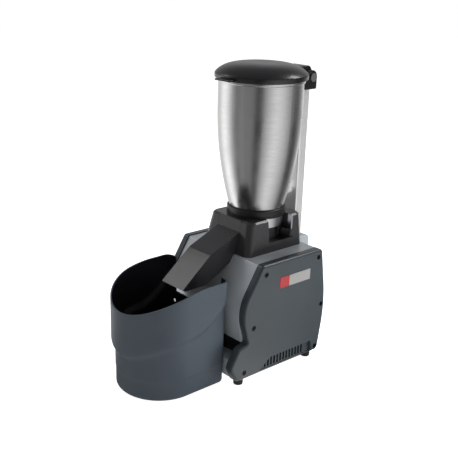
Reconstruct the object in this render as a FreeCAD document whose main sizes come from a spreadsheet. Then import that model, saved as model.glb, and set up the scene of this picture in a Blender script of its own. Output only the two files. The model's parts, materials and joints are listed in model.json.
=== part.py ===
"""Countertop ice crusher with a lidded steel bowl, a chute and a collecting bucket.

Frame: millimetres, +Z up, front towards -Y. The bowl, the motor and the crusher share one
upright axis. Everything is laid out from that axis, and each sub-part's Placement then moves
it back, so that the origin lies at the middle of the footprint, on the table.
"""
import FreeCAD, Part
import math
import os

import Sketcher

# Driving dimensions in millimetres and degrees. Places are distances from the bowl's axis,
# "front" ones towards -Y and "rear" ones towards +Y; heights are measured from the table.
SIZES = {
    # clearances
    "fit_gap": 0.05,            # a shaft, screw or pin in its hole
    "seat_gap": 0.3,            # between pieces that move past each other
    # casting: front and rear outline, walls
    "casting_half": 98.0,
    "casting_top": 222.0,
    "casting_bottom": 13.0,
    "casting_wall": 4.0,
    "shoulder_front": 81.6,
    "belly_front": 130.0,
    "belly_height": 145.6,
    "belly_round": 75.0,
    "skirt_front": 119.0,
    "recess_front": 108.0,
    "recess_top": 82.0,
    "recess_bottom": 49.0,
    "toe_front": 138.0,
    "toe_foot_front": 134.0,
    "rear_top": 71.0,
    "rear_bulge": 88.5,
    "rear_bulge_height": 108.0,
    "rear_round": 300.0,
    "rear_bottom": 73.5,
    "flange_thick": 6.0,
    "edge_round": 4.0,
    # column boss on the back of the casting
    "boss_half": 26.0,
    "boss_back": 17.0,
    "boss_rear": "=column_rear + boss_back",
    "boss_top": 219.0,
    "boss_bottom": 30.0,
    "boss_round": 12.0,
    # lid column
    "column_half": 20.0,
    "column_clear": 10.2,
    "column_front": "=bowl_radius + column_clear",
    "column_depth": 21.0,
    "column_rear": "=column_front + column_depth",
    "column_top": 508.0,
    "column_bottom": 60.0,
    "column_wall": 1.5,
    "column_round": 3.0,
    # hinge bracket, pin and lid
    "bracket_half": 27.0,
    "bracket_back": 9.0,
    "bracket_rear": "=column_rear + bracket_back",
    "bracket_over_pin": 13.0,
    "bracket_top": "=pin_height + bracket_over_pin",
    "bracket_floor": 5.0,
    "cheek_thick": 5.0,
    "plug_depth": 12.0,
    "pin_back": 19.0,
    "pin_rear": "=column_front + pin_back",
    "pin_drop": 3.7,
    "pin_height": "=bead_top - pin_drop",
    "pin_radius": 4.0,
    "pin_head_radius": 8.0,
    "pin_head_thick": 3.0,
    "knuckle_half": 19.0,
    "knuckle_radius": 9.0,
    "arm_rise": 21.0,
    "lid_overhang": 4.8,
    "lid_radius": "=bead_radius + lid_overhang",
    "lid_gap": 0.3,
    "lid_skirt": "=bead_top + lid_gap",
    "lid_skirt_height": 7.5,
    "lid_edge": "=lid_skirt + lid_skirt_height",
    "lid_rise": 23.5,
    "lid_crown": "=lid_edge + lid_rise",
    "lid_wall": 3.0,
    "lid_seat_depth": 4.0,
    "lid_seat": "=lid_skirt + lid_seat_depth",
    "lid_seat_width": 10.8,
    "lid_seat_inner": "=lid_radius - lid_seat_width",
    "tab_half": 20.0,
    "tab_reach": 10.0,
    "tab_round": 2.0,
    "gasket_thick": "=lid_seat_depth",
    "gasket_width": 6.5,
    # hopper bowl
    "bowl_neck": 51.6,
    "bowl_neck_top": 297.0,
    "bowl_radius": 77.8,
    "bowl_full_height": 480.0,
    "bowl_curve": 661.9,
    "bowl_wall": 1.2,
    "bead_lip": 2.2,
    "bead_radius": "=bowl_radius + bead_lip",
    "bead_bottom": 527.5,
    "bead_top": 533.7,
    "bead_round": 1.7,
    # bowl collar and seat ring
    "collar_radius": 55.0,
    "collar_top": 298.5,
    "collar_taper": 1.6,
    "collar_lip": 1.7,
    "seat_radius": 55.6,
    "seat_thick": 3.4,
    # crusher housing
    "housing_top": 283.0,
    "housing_top_half": 57.0,
    "housing_top_front": 64.0,
    "housing_top_rear": 66.0,
    "housing_base_half": 64.3,
    "housing_base_front": 77.4,
    "housing_base_rear": 67.5,
    "housing_round": 14.0,
    "housing_edge": 3.0,
    "housing_floor": 4.0,
    # crusher chamber, size ring, lever
    "cup_inner": 45.5,
    "cup_wall": 3.2,
    "cup_floor": 3.0,
    "ring_wall": 2.3,
    "ring_bottom": 264.0,
    "shoulder_height": 240.0,
    "outlet_half": 27.0,
    "outlet_top": 256.0,
    "window_front": 22.0,
    "window_rear": 38.0,
    "lever_height": 252.0,
    "lever_angle": 22.0,
    "lever_width": 8.0,
    "knob_radius": 7.0,
    "knob_start": 54.0,
    "knob_length": 21.0,
    "trim_thick": 1.6,
    # chute
    "chute_half": 29.8,
    "chute_wall": 2.0,
    "plate_half": 30.0,
    "plate_thick": 3.0,
    "chute_root_top": 262.0,
    "chute_bend_front": 136.7,
    "chute_bend_height": 232.5,
    "chute_lip_front": 199.5,
    "chute_lip_height": 180.0,
    "chute_mouth_front": 192.6,
    "chute_mouth_rear": 145.6,
    "chute_mouth_height": 177.0,
    "chute_root_bottom": 214.4,
    # crusher rotor and knives
    "disc_gap": 0.9,
    "disc_radius": "=cup_inner - disc_gap",
    "disc_height": 233.0,
    "disc_thick": 4.0,
    "hub_radius": 14.0,
    "blade_height": 7.0,
    "blade_thick": 4.0,
    "nut_height": 243.0,
    "nut_thick": 7.0,
    "knife_ring_top": 262.0,
    "knife_ring_thick": 6.0,
    "knife_drop": 6.0,
    # motor
    "shaft_radius": 8.5,
    "shaft_bottom": 42.0,
    "shaft_top": 250.0,
    "bearing_radius": 17.5,
    "bearing_thick": 10.0,
    "stator_radius": 57.0,
    "stator_bore": 34.0,
    "stator_bottom": 98.0,
    "stator_top": 152.0,
    "bell_wall": 6.0,
    "upper_bell_top": 192.0,
    "lower_bell_bottom": 68.0,
    "bell_plate": 8.0,
    "air_gap": 0.4,
    "winding_inner": 37.0,
    "winding_outer": 49.0,
    "winding_height": 14.0,
    "bolt_circle": 54.0,
    "bolt_radius": 2.0,
    "post_radius": 5.5,
    "fan_radius": 48.0,
    "fan_height": 46.0,
    "fan_thick": 3.0,
    "fan_blade_height": 12.0,
    "seal_radius": 16.0,
    # side covers
    "cover_thick": 15.0,
    "cover_wall": 4.0,
    "cover_edge_round": 5.0,
    "cover_lip": 2.0,
    "post_size": 6.0,
    "screw_radius": 2.0,
    "screw_head_radius": 4.2,
    "screw_head_thick": 2.6,
    "screw_recess": 4.0,
    "screw_length": 24.0,
    "vent_top": 38.0,
    "vent_depth": 7.0,
    "vent_front": 87.0,
    "vent_rear": 57.5,
    "vent_slant": 30.0,
    "slot_pitch": 8.1,
    "slot_width": 4.6,
    # base plate, feet
    "plate_lip": 10.0,
    "plate_half_width": "=casting_half + plate_lip",
    "base_plate_thick": 1.6,
    "foot_radius": 9.5,
    "foot_side": "=casting_half",
    "foot_front": 122.0,
    "foot_rear": 56.0,
    # bucket
    "bucket_centre": 226.0,
    "bucket_lower_half": 80.5,
    "bucket_upper_half": 87.5,
    "bucket_gap": 0.3,
    "bucket_wall": 2.5,
    "bucket_bottom_round": 8.0,
    "bucket_corner": 12.0,
    "bucket_rim_rear": 202.0,
    "bucket_rim_front": 156.0,
    "bucket_rim_flat": 180.0,
    "bucket_rim_curve": 218.0,
    "bucket_back_top": 132.0,
    "bucket_ear": 65.0,
    "step_front_height": 66.0,
    "step_mid_front": 206.0,
    "step_mid_height": 115.0,
    "step_back_height": 183.0,
    "step_front_curve": 169.5,
    "step_back_curve": 124.7,
    "hook_hole": 4.0,
    # label, switch, gland and other fittings
    "label_thick": 0.6,
    "switch_height": 150.0,
    "switch_half_width": 11.0,
    "switch_half_height": 15.5,
    "rocker_half_width": 7.5,
    "rocker_half_height": 11.0,
    "rocker_tilt": 8.0,
    "gland_radius": 9.0,
    "gland_bore": 4.5,
    "gland_side": 62.0,
    "gland_height": 45.0,
    "capacitor_radius": 16.0,
    "capacitor_height": 80.0,
    "rod_radius": 3.0,
    "switch_top": 180.0,
    "switch_case_half": 9.0,
    "switch_case_height": 22.0,
}

doc = FreeCAD.newDocument("IceCrusher")
sheet = doc.addObject("Spreadsheet::Sheet", "Sizes")
for row, alias in enumerate(SIZES, start=1):
    sheet.set("A%d" % row, alias.replace("_", " "))
    sheet.setAlias("B%d" % row, alias)
for row, content in enumerate(SIZES.values(), start=1):
    sheet.set("B%d" % row, str(content))
doc.recompute()


class Size:
    """A number worked out from the sheet, with the expression that keeps it bound."""

    def __init__(self, value, text):
        self.value = float(value)
        self.text = text

    def __float__(self):
        return self.value

    def __neg__(self):
        return Size(-self.value, "-(%s)" % self.text)

    def __add__(self, other):
        return Size(self.value + float(other), "(%s + %s)" % (self.text, text_of(other)))

    def __sub__(self, other):
        return Size(self.value - float(other), "(%s - %s)" % (self.text, text_of(other)))

    def __mul__(self, other):
        return Size(self.value * float(other), "(%s * %s)" % (self.text, text_of(other)))

    def __rsub__(self, other):
        return Size(float(other) - self.value, "(%s - %s)" % (text_of(other), self.text))

    def __truediv__(self, other):
        return Size(self.value / float(other), "(%s / %s)" % (self.text, text_of(other)))


def text_of(number):
    """The expression of a Size, or a plain number's own text."""
    return number.text if isinstance(number, Size) else repr(float(number))


def size(alias):
    """One cell of the sheet."""
    return Size(sheet.get(alias), "Sizes." + alias)


def lesser(first, second):
    """The smaller of two sizes."""
    text = "min(%s; %s)" % (text_of(first), text_of(second))
    return Size(min(float(first), float(second)), text)


def bind(thing, path, number):
    """Tie one property to the sheet."""
    thing.setExpression(path, text_of(number))


NODES = []


def plain(number):
    """A number that is no cell of the sheet."""
    return Size(number, text_of(number))


ZERO = plain(0)
BUCKET_BACK = size("toe_front") + size("bucket_gap")
bucket_reach = size("bucket_centre") + size("bucket_upper_half")
axis_back = (bucket_reach - size("boss_rear")) / 2


def put(thing, x=ZERO, y=ZERO, z=ZERO):
    """Place a sub-part or primitive at a point measured from the bowl's axis."""
    bind(thing, "Placement.Base.x", x)
    bind(thing, "Placement.Base.y", axis_back + y)
    bind(thing, "Placement.Base.z", z)
    return thing


def new_body(label, x=ZERO, y=ZERO, z=ZERO):
    """An empty body for one sub-part."""
    body = doc.addObject("PartDesign::Body", label)
    body.Label = label
    NODES.append(body)
    return put(body, x, y, z)


def new_sketch(body, role, offset=None):
    """A sketch on one of the body's own origin planes, moved along its normal."""
    sketch = body.newObject("Sketcher::SketchObject", body.Label + "_sketch")
    plane = [item for item in body.Origin.OriginFeatures if item.Role == role][0]
    sketch.AttachmentSupport = [(plane, "")]
    sketch.MapMode = "FlatFace"
    if offset is not None:
        bind(sketch, "AttachmentOffset.Base.z", offset)
    return sketch


def fix_point(sketch, shape, corner, x, y):
    """Hold one point of a sketch at bound coordinates."""
    across = sketch.addConstraint(Sketcher.Constraint("DistanceX", shape, corner, float(x)))
    bind(sketch, "Constraints[%d]" % across, x)
    along = sketch.addConstraint(Sketcher.Constraint("DistanceY", shape, corner, float(y)))
    bind(sketch, "Constraints[%d]" % along, y)


def fix_radius(sketch, shape, radius):
    """Hold the radius of an arc or circle."""
    index = sketch.addConstraint(Sketcher.Constraint("Radius", shape, float(radius)))
    bind(sketch, "Constraints[%d]" % index, radius)


def arc_between(start, end, centre, turn_left):
    """An arc from start to end, and the numbers of its start and end points."""
    first, last = (start, end) if turn_left else (end, start)
    from_angle = math.atan2(first.y - centre.y, first.x - centre.x)
    to_angle = math.atan2(last.y - centre.y, last.x - centre.x)
    if to_angle < from_angle:
        to_angle += 2 * math.pi
    circle = Part.Circle(centre, FreeCAD.Vector(0, 0, 1), (start - centre).Length)
    return Part.ArcOfCircle(circle, from_angle, to_angle), (1, 2) if turn_left else (2, 1)


def outline(sketch, corners):
    """Draw a closed outline.

    A corner is (x, y), (x, y, radius) when it is rounded, or (x, y, None, radius) when an
    arc leads to the next corner: a positive radius turns left, a negative one right.
    """
    points = [FreeCAD.Vector(float(corner[0]), float(corner[1]), 0) for corner in corners]
    count = len(corners)
    cuts = []
    for index, corner in enumerate(corners):
        point = points[index]
        if len(corner) != 3:
            cuts.append((point, point, None, False))
            continue
        back = (points[index - 1] - point).normalize()
        ahead = (points[(index + 1) % count] - point).normalize()
        half = back.getAngle(ahead) / 2
        cut = float(corner[2]) / math.tan(half)
        centre = point + (back + ahead).normalize() * (float(corner[2]) / math.sin(half))
        turn_left = ahead.cross(back).z > 0
        cuts.append((point + back * cut, point + ahead * cut, centre, turn_left))

    edges = []
    for index, corner in enumerate(corners):
        start = cuts[index][1]
        end = cuts[(index + 1) % count][0]
        if len(corner) < 4:
            edges.append((sketch.addGeometry(Part.LineSegment(start, end)), (1, 2)))
            continue
        radius = float(corner[3])
        chord = end - start
        side = FreeCAD.Vector(-chord.y, chord.x, 0).normalize()
        reach = math.sqrt(radius ** 2 - (chord.Length / 2) ** 2)
        centre = (start + end) / 2 + side * math.copysign(reach, radius)
        arc, ends = arc_between(start, end, centre, radius > 0)
        edges.append((sketch.addGeometry(arc), ends))

    for index, corner in enumerate(corners):
        before, before_ends = edges[index - 1]
        after, after_ends = edges[index]
        start, end, centre, turn_left = cuts[index]
        if centre is None:
            joint = Sketcher.Constraint("Coincident", before, before_ends[1], after, after_ends[0])
            sketch.addConstraint(joint)
            fix_point(sketch, after, after_ends[0], corner[0], corner[1])
        else:
            arc, ends = arc_between(start, end, centre, turn_left)
            arc = sketch.addGeometry(arc)
            mark = sketch.addGeometry(Part.Point(points[index]), True)
            sketch.addConstraint(Sketcher.Constraint("PointOnObject", mark, 1, before))
            sketch.addConstraint(Sketcher.Constraint("PointOnObject", mark, 1, after))
            sketch.addConstraint(Sketcher.Constraint("Tangent", before, before_ends[1], arc, ends[0]))
            sketch.addConstraint(Sketcher.Constraint("Tangent", arc, ends[1], after, after_ends[0]))
            fix_radius(sketch, arc, corner[2])
            fix_point(sketch, mark, 1, corner[0], corner[1])
        if len(corner) == 4:
            bend = corner[3] if float(corner[3]) > 0 else -corner[3]
            fix_radius(sketch, after, bend)
    return sketch


def ring(sketch, x, y, *radii):
    """Draw circles about one centre."""
    for radius in radii:
        circle = Part.Circle(FreeCAD.Vector(float(x), float(y), 0), FreeCAD.Vector(0, 0, 1), float(radius))
        index = sketch.addGeometry(circle)
        fix_radius(sketch, index, radius)
        fix_point(sketch, index, 3, x, y)
    return sketch


def box_outline(sketch, left, right, low, high, radius=None):
    """Draw a rectangle, its corners rounded if a radius is given."""
    ends = [(left, low), (right, low), (right, high), (left, high)]
    return outline(sketch, ends if radius is None else [end + (radius,) for end in ends])


def extrude(kind, body, sketch, length, symmetric=False, reverse=False):
    """Pad or pocket a sketch."""
    feature = body.newObject("PartDesign::" + kind, body.Label + "_" + kind.lower())
    feature.Profile = sketch
    feature.SideType = "Symmetric" if symmetric else "One side"
    feature.Reversed = reverse
    bind(feature, "Length", length)
    return feature


def pad(body, sketch, length, **sides):
    return extrude("Pad", body, sketch, length, **sides)


def pocket(body, sketch, length, **sides):
    """Cut a pocket, and make sure that it took something away."""
    doc.recompute()
    before = body.Shape.Volume
    feature = extrude("Pocket", body, sketch, length, **sides)
    doc.recompute()
    if before - body.Shape.Volume < 1e-3:
        raise ValueError("a pocket in %s cuts nothing" % body.Label)
    return feature


def turn(body, sketch, kind="Revolution"):
    """Revolve a sketch about its own upright axis."""
    feature = body.newObject("PartDesign::" + kind, body.Label + "_turned")
    feature.Profile = sketch
    feature.ReferenceAxis = (sketch, ["V_Axis"])
    feature.Angle = 360
    return feature


def turned_body(label, corners, x=ZERO, y=ZERO, z=ZERO):
    """A body of revolution about an upright axis, from its half section."""
    body = new_body(label, x, y, z)
    turn(body, outline(new_sketch(body, "XZ_Plane"), corners))
    return body


def ring_body(label, inner, outer, low, high):
    """A plain ring on the bowl's axis."""
    body = new_body(label)
    sketch = ring(new_sketch(body, "XY_Plane", low), ZERO, ZERO, inner, outer)
    pad(body, sketch, high - low)
    return body


def soften(body, kind, amount, wanted):
    """Fillet or chamfer the edges of the body's last feature that pass the test."""
    doc.recompute()
    base = body.Tip
    names = ["Edge%d" % (index + 1) for index, edge in enumerate(base.Shape.Edges) if wanted(edge)]
    if not names:
        raise ValueError("no edge to soften on %s" % body.Label)
    feature = body.newObject("PartDesign::" + kind, body.Label + "_" + kind.lower())
    feature.Base = (base, names)
    bind(feature, "Radius" if kind == "Fillet" else "Size", amount)
    return feature


def near(value, target):
    return abs(value - float(target)) < 1e-4


def level(edge, axis, target):
    """Whether an edge lies wholly at one value of X, Y or Z."""
    box = edge.BoundBox
    low, high = {"x": (box.XMin, box.XMax), "y": (box.YMin, box.YMax), "z": (box.ZMin, box.ZMax)}[axis]
    return near(low, target) and near(high, target)


TILTS = {
    "z": FreeCAD.Rotation(),
    "x": FreeCAD.Rotation(FreeCAD.Vector(0, 1, 0), 90),
    "-x": FreeCAD.Rotation(FreeCAD.Vector(0, 1, 0), -90),
    "y": FreeCAD.Rotation(FreeCAD.Vector(1, 0, 0), -90),
    "-z": FreeCAD.Rotation(FreeCAD.Vector(1, 0, 0), 180),
}


def rod(name, radius, length, x, y, z, way="z"):
    """A plain cylinder that starts at a point and runs the way given."""
    cylinder = doc.addObject("Part::Cylinder", name)
    bind(cylinder, "Radius", radius)
    bind(cylinder, "Height", length)
    cylinder.Placement.Rotation = TILTS[way]
    return put(cylinder, x, y, z)


def hexagon(name, radius, length, x, y, z, way="z"):
    """A six-sided prism, measured to its corners."""
    prism = doc.addObject("Part::Prism", name)
    prism.Polygon = 6
    bind(prism, "Circumradius", radius)
    bind(prism, "Height", length)
    prism.Placement.Rotation = TILTS[way]
    return put(prism, x, y, z)


def block(name, left, right, front, rear, low, high):
    """A plain box between six planes."""
    cuboid = doc.addObject("Part::Box", name)
    bind(cuboid, "Length", right - left)
    bind(cuboid, "Width", rear - front)
    bind(cuboid, "Height", high - low)
    return put(cuboid, left, front, low)


def join(label, pieces):
    """Fuse primitives into one sub-part, which may hold several separate solids."""
    fused = doc.addObject("Part::MultiFuse", label)
    fused.Shapes = pieces
    return fused


def cut(label, base, tool):
    """Take one shape from another."""
    result = doc.addObject("Part::Cut", label)
    result.Base = base
    result.Tool = tool
    return result


def sub_part(thing, label):
    """Name a finished boolean as a sub-part."""
    thing.Label = label
    NODES.append(thing)
    return thing


# ---------------------------------------------------------------- casting and base

CASTING_HALF = size("casting_half")
CASTING_TOP = size("casting_top")
CASTING_BOTTOM = size("casting_bottom")
WALL = size("casting_wall")
FIT = size("fit_gap")
GAP = size("seat_gap")
TOE_TILT = (size("toe_front") - size("toe_foot_front")) / (size("recess_bottom") - CASTING_BOTTOM)

COVER_SCREWS = [
    (plain(-76), plain(206)),
    (plain(60), plain(209)),
    (plain(76), plain(110)),
    (plain(-102), plain(110)),
    (plain(66), plain(23)),
    (plain(-121.5), plain(27)),
]


def casting_front(inset):
    """The casting's front outline from the top down, moved inwards by an inset."""
    top = CASTING_TOP - inset
    return [
        (-(size("shoulder_front") - inset * 0.5), top, size("edge_round")),
        (-(size("belly_front") - inset * 1.1), size("belly_height"), size("belly_round") - inset),
        (-(size("skirt_front") - inset), size("recess_top") + inset),
        (-(size("recess_front") - inset), size("recess_top") + inset),
        (-(size("recess_front") - inset), size("recess_bottom") - inset),
        (-(size("toe_front") - inset), size("recess_bottom") - inset),
        (-(size("toe_foot_front") - inset), CASTING_BOTTOM),
    ]


def casting_rear(inset):
    """The casting's rear outline from the bottom up, moved inwards by an inset."""
    top = CASTING_TOP - inset
    return [
        (size("rear_bottom") - inset, CASTING_BOTTOM),
        (size("rear_bulge") - inset, size("rear_bulge_height"), size("rear_round") - inset),
        (size("rear_top") - inset * 1.1, top, size("edge_round")),
    ]


def casting_shell():
    body = new_body("body_casting")
    band = casting_front(ZERO)
    inside = casting_front(WALL)
    back = casting_rear(ZERO)
    back_inside = casting_rear(WALL)
    corners = band + inside[::-1] + back_inside[::-1] + back
    pad(body, outline(new_sketch(body, "YZ_Plane"), corners), CASTING_HALF * 2, symmetric=True)
    return body


def flange_window():
    """The opening in each end flange."""
    return [
        (-(size("shoulder_front") - 16), CASTING_TOP - 24),
        (-(size("belly_front") - 36), size("belly_height") + 12),
        (-(size("recess_front") - 14), size("recess_top") + 6),
        (-(size("recess_front") - 6), size("recess_bottom") - 10),
        (-(size("recess_front") - 8), CASTING_BOTTOM + 5),
        (size("rear_bottom") - 26, CASTING_BOTTOM + 5),
        (size("rear_bulge") - 24, CASTING_BOTTOM + 29),
        (size("rear_bulge") - 21, size("rear_bulge_height")),
        (size("rear_top") - 17, CASTING_TOP - 24),
    ]


def drill(body, role, offset, places, radius, depth, reverse=False):
    """Cut round holes at several points of one plane."""
    sketch = new_sketch(body, role, offset)
    for x, y in places:
        ring(sketch, x, y, radius)
    return pocket(body, sketch, depth, reverse=reverse)


def corners_of(x, front, rear):
    """The four corners of a rectangle about the bowl's axis."""
    return [(side, along) for side in (-x, x) for along in (-front, rear)]


BOLT_REACH = size("bolt_circle") / math.sqrt(2)
BOLTS = corners_of(BOLT_REACH, BOLT_REACH, BOLT_REACH)
HOUSING_SCREWS = corners_of(size("housing_top_half") - 7, size("housing_top_front") - 9,
                            size("housing_top_rear") - 16)
FEET = corners_of(size("foot_side"), size("foot_front"), size("foot_rear"))
CHUTE_SLOPE = (size("chute_root_bottom") - size("chute_mouth_height")) / (
    size("chute_mouth_rear") - size("housing_base_front"))


def make_casting():
    """The silver body: a hollow band with end flanges, a column boss and a chute notch."""
    body = casting_shell()
    for side in (1, -1):
        sketch = new_sketch(body, "YZ_Plane", CASTING_HALF * side)
        outline(sketch, casting_front(ZERO) + casting_rear(ZERO))
        outline(sketch, flange_window())
        pad(body, sketch, size("flange_thick"), reverse=side > 0)
    boss = [
        (size("column_front") - 18, size("boss_bottom")),
        (size("boss_rear"), size("boss_bottom"), size("boss_round")),
        (size("boss_rear"), size("boss_top"), size("boss_round")),
        (size("column_front") - 18, size("boss_top")),
    ]
    pad(body, outline(new_sketch(body, "YZ_Plane"), boss), size("boss_half") * 2, symmetric=True)
    socket = new_sketch(body, "XY_Plane", size("boss_top"))
    box_outline(socket, -(size("column_half") + FIT), size("column_half") + FIT, size("column_front") - FIT,
                size("column_rear") + FIT, size("column_round"))
    pocket(body, socket, size("boss_top") - size("column_bottom"))
    notch_low = size("chute_root_bottom") - GAP
    run = size("chute_lip_front") - size("housing_base_front")
    notch = [
        (-(size("housing_base_front") - GAP), notch_low),
        (-(size("housing_base_front") - GAP), CASTING_TOP + 10),
        (-size("chute_lip_front"), CASTING_TOP + 10),
        (-size("chute_lip_front"), notch_low - CHUTE_SLOPE * run),
    ]
    sketch = outline(new_sketch(body, "YZ_Plane"), notch)
    pocket(body, sketch, (size("plate_half") + GAP) * 2, symmetric=True)
    drill(body, "XY_Plane", CASTING_TOP, [(ZERO, ZERO)], size("seal_radius") + FIT, WALL * 1.5)
    drill(body, "XY_Plane", CASTING_TOP, BOLTS, size("bolt_radius") + FIT, WALL * 1.5)
    drill(body, "XY_Plane", CASTING_TOP, HOUSING_SCREWS, size("screw_radius") + FIT, WALL * 1.5)
    for side in (1, -1):
        drill(body, "YZ_Plane", CASTING_HALF * side, COVER_SCREWS, size("screw_radius") + FIT,
              size("flange_thick") + 6, reverse=side < 0)
    gland = [(-size("gland_side"), size("gland_height"))]
    drill(body, "XZ_Plane", -(size("rear_bottom") - 14), gland, size("gland_radius") + FIT, plain(30))
    return body


def make_base():
    """The black strip in the front recess, the base plate and the four feet."""
    strip = new_body("recess_panel")
    front = -(size("recess_front") + 2)
    corners = [(front, size("recess_bottom")), (-size("recess_front"), size("recess_bottom")),
               (-size("recess_front"), size("recess_top")), (front, size("recess_top"))]
    pad(strip, outline(new_sketch(strip, "YZ_Plane"), corners), CASTING_HALF * 2, symmetric=True)

    plate = new_body("base_plate")
    low = CASTING_BOTTOM - size("base_plate_thick")
    sketch = new_sketch(plate, "XY_Plane", low)
    box_outline(sketch, -size("plate_half_width"), size("plate_half_width"), -(size("toe_foot_front") - 1),
                size("rear_bottom") - 3, size("foot_radius"))
    for x, y in FEET:
        ring(sketch, x, y, size("screw_radius") + FIT)
    pad(plate, sketch, size("base_plate_thick"))

    screws = []
    for name, (x, y) in zip(("rear_left", "front_left", "rear_right", "front_right"),
                            (FEET[1], FEET[0], FEET[3], FEET[2])):
        foot = size("foot_radius")
        section = [
            (size("screw_radius") + FIT, size("screw_recess") + 2),
            (size("screw_head_radius") + 1, size("screw_recess") + 2),
            (size("screw_head_radius") + 1, ZERO),
            (foot - 1, ZERO, plain(1)),
            (foot, low),
            (size("screw_radius") + FIT, low),
        ]
        turned_body("rubber_foot_" + name, section, x, y)
        seat = size("screw_recess") + 2 - size("screw_head_thick")
        screws.append(rod("foot_head", size("screw_head_radius"), size("screw_head_thick"), x, y, seat))
        screws.append(rod("foot_shank", size("screw_radius"), CASTING_BOTTOM - seat, x, y, seat))
    sub_part(join("foot_screws", screws), "foot_screws")


# ---------------------------------------------------------------- side covers

def cover_outline(inset):
    """The outline of a side cover, moved inwards by an inset."""
    lip = size("cover_lip") - inset
    return [
        (-(size("shoulder_front") + lip), CASTING_TOP + lip, plain(7)),
        (size("rear_top") - 2 + lip, CASTING_TOP + lip, plain(9)),
        (size("rear_bulge") + lip * 0.5, size("rear_bulge_height"), size("rear_round")),
        (size("rear_bottom") + lip * 0.5, CASTING_BOTTOM + size("cover_lip") - lip, plain(10)),
        (-(size("toe_foot_front") + 4 + lip), CASTING_BOTTOM + size("cover_lip") - lip, plain(12)),
        (-(size("toe_front") + 15 + lip), size("recess_bottom") - 6, plain(12)),
        (-(size("toe_foot_front") - 1 + lip), size("recess_top") - 8 + lip, plain(5)),
        (-(size("recess_front") + 3 + lip), size("recess_top"), plain(5)),
        (-(size("belly_front") + lip), size("belly_height"), size("belly_round")),
    ]


def vent_top_at(y):
    """The height of the vent's top edge, which slants down at the front."""
    rise = (size("vent_top") - CASTING_BOTTOM - 2) / size("vent_slant")
    return lesser(size("vent_top"), (y + size("vent_front")) * rise + CASTING_BOTTOM + 2)


def make_cover(label, side):
    """One side cover: a shallow tray with screw posts and a recessed grille."""
    body = new_body(label)
    inner = CASTING_HALF * side
    outer = (CASTING_HALF + size("cover_thick")) * side
    inward = side > 0
    blank = outline(new_sketch(body, "YZ_Plane", inner), cover_outline(ZERO))
    pad(body, blank, size("cover_thick"), reverse=side < 0)
    soften(body, "Fillet", size("cover_edge_round"), lambda edge: level(edge, "x", outer))
    sill_depth = size("cover_wall")
    deep = size("cover_thick") - size("cover_wall")
    tray = [
        (-(size("shoulder_front") - 2), CASTING_TOP - 4),
        (size("rear_top") - 7, CASTING_TOP - 4),
        (size("rear_bulge") - 6, size("rear_bulge_height")),
        (size("rear_bottom"), size("vent_top") + 4),
        (-(size("toe_front") + 4), size("vent_top") + 4),
        (-(size("toe_front") + 6), size("recess_bottom")),
        (-(size("toe_foot_front") - 8), size("recess_top") - 14),
        (-(size("recess_front") - 3), size("recess_top") + 2),
        (-(size("belly_front") - 9), size("belly_height")),
    ]
    pocket(body, outline(new_sketch(body, "YZ_Plane", inner), tray), deep, reverse=inward)
    sill = [
        (size("rear_bottom") - 4, size("vent_top") + 4),
        (size("rear_bottom") - 8, CASTING_BOTTOM + 5),
        (-(size("toe_foot_front") - 4), CASTING_BOTTOM + 5),
        (-(size("toe_front") + 4), size("vent_top") + 4),
    ]
    pocket(body, outline(new_sketch(body, "YZ_Plane", inner), sill), sill_depth, reverse=inward)
    vent = [
        (-size("vent_front"), CASTING_BOTTOM - 4),
        (-size("vent_front"), CASTING_BOTTOM + 2),
        (-(size("vent_front") - size("vent_slant")), size("vent_top")),
        (size("vent_rear") - 5, size("vent_top")),
        (size("vent_rear"), CASTING_BOTTOM - 4),
    ]
    pocket(body, outline(new_sketch(body, "YZ_Plane", outer), vent), size("vent_depth"), reverse=not inward)
    slots = new_sketch(body, "YZ_Plane", outer)
    for number in range(15):
        front = -(size("vent_front") - 6) + size("slot_pitch") * number
        box_outline(slots, front, front + size("slot_width"), CASTING_BOTTOM + 3, vent_top_at(front) - 1)
    pocket(body, slots, size("cover_thick") + 1, reverse=not inward)

    posts = new_sketch(body, "YZ_Plane", inner)
    for y, z in COVER_SCREWS:
        ring(posts, y, z, size("post_size"))
    pad(body, posts, deep + 1, reverse=side < 0)
    drill(body, "YZ_Plane", outer, COVER_SCREWS, size("screw_head_radius") + 0.8, size("screw_recess"),
          reverse=not inward)
    drill(body, "YZ_Plane", outer, COVER_SCREWS, size("screw_radius") + FIT, size("cover_thick"),
          reverse=not inward)
    if side < 0:
        hole = new_sketch(body, "YZ_Plane", outer)
        box_outline(hole, -(size("switch_half_width") - 1), size("switch_half_width") - 1,
                    size("switch_height") - size("switch_half_height") + 1,
                    size("switch_height") + size("switch_half_height") - 1)
        pocket(body, hole, size("cover_thick"), reverse=not inward)
    return body


def make_cover_screws(label, side):
    """Six socket screws, sunk in the cover and held in the casting's flange."""
    way = "-x" if side > 0 else "x"
    seat = (CASTING_HALF + size("cover_thick") - size("screw_recess")) * side
    face = seat + size("screw_head_thick") * side
    pieces = []
    sockets = []
    for y, z in COVER_SCREWS:
        pieces.append(rod("cover_screw_head", size("screw_head_radius"), size("screw_head_thick"),
                          face, y, z, way))
        pieces.append(rod("cover_screw_shank", size("screw_radius"), size("screw_length") - 6,
                          face, y, z, way))
        sockets.append(hexagon("cover_screw_socket", size("screw_radius"), size("screw_radius"),
                               face, y, z, way))
    sub_part(cut(label, join(label + "_solid", pieces), join(label + "_sockets", sockets)), label)


# ---------------------------------------------------------------- column, hinge and lid

def make_column():
    """The bright rectangular tube that carries the lid."""
    body = new_body("lid_column")
    sketch = new_sketch(body, "XY_Plane", size("column_bottom"))
    half = size("column_half")
    wall = size("column_wall")
    box_outline(sketch, -half, half, size("column_front"), size("column_rear"), size("column_round"))
    box_outline(sketch, -(half - wall), half - wall, size("column_front") + wall, size("column_rear") - wall,
                size("column_round") - wall)
    pad(body, sketch, size("column_top") - size("column_bottom"))


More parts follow.
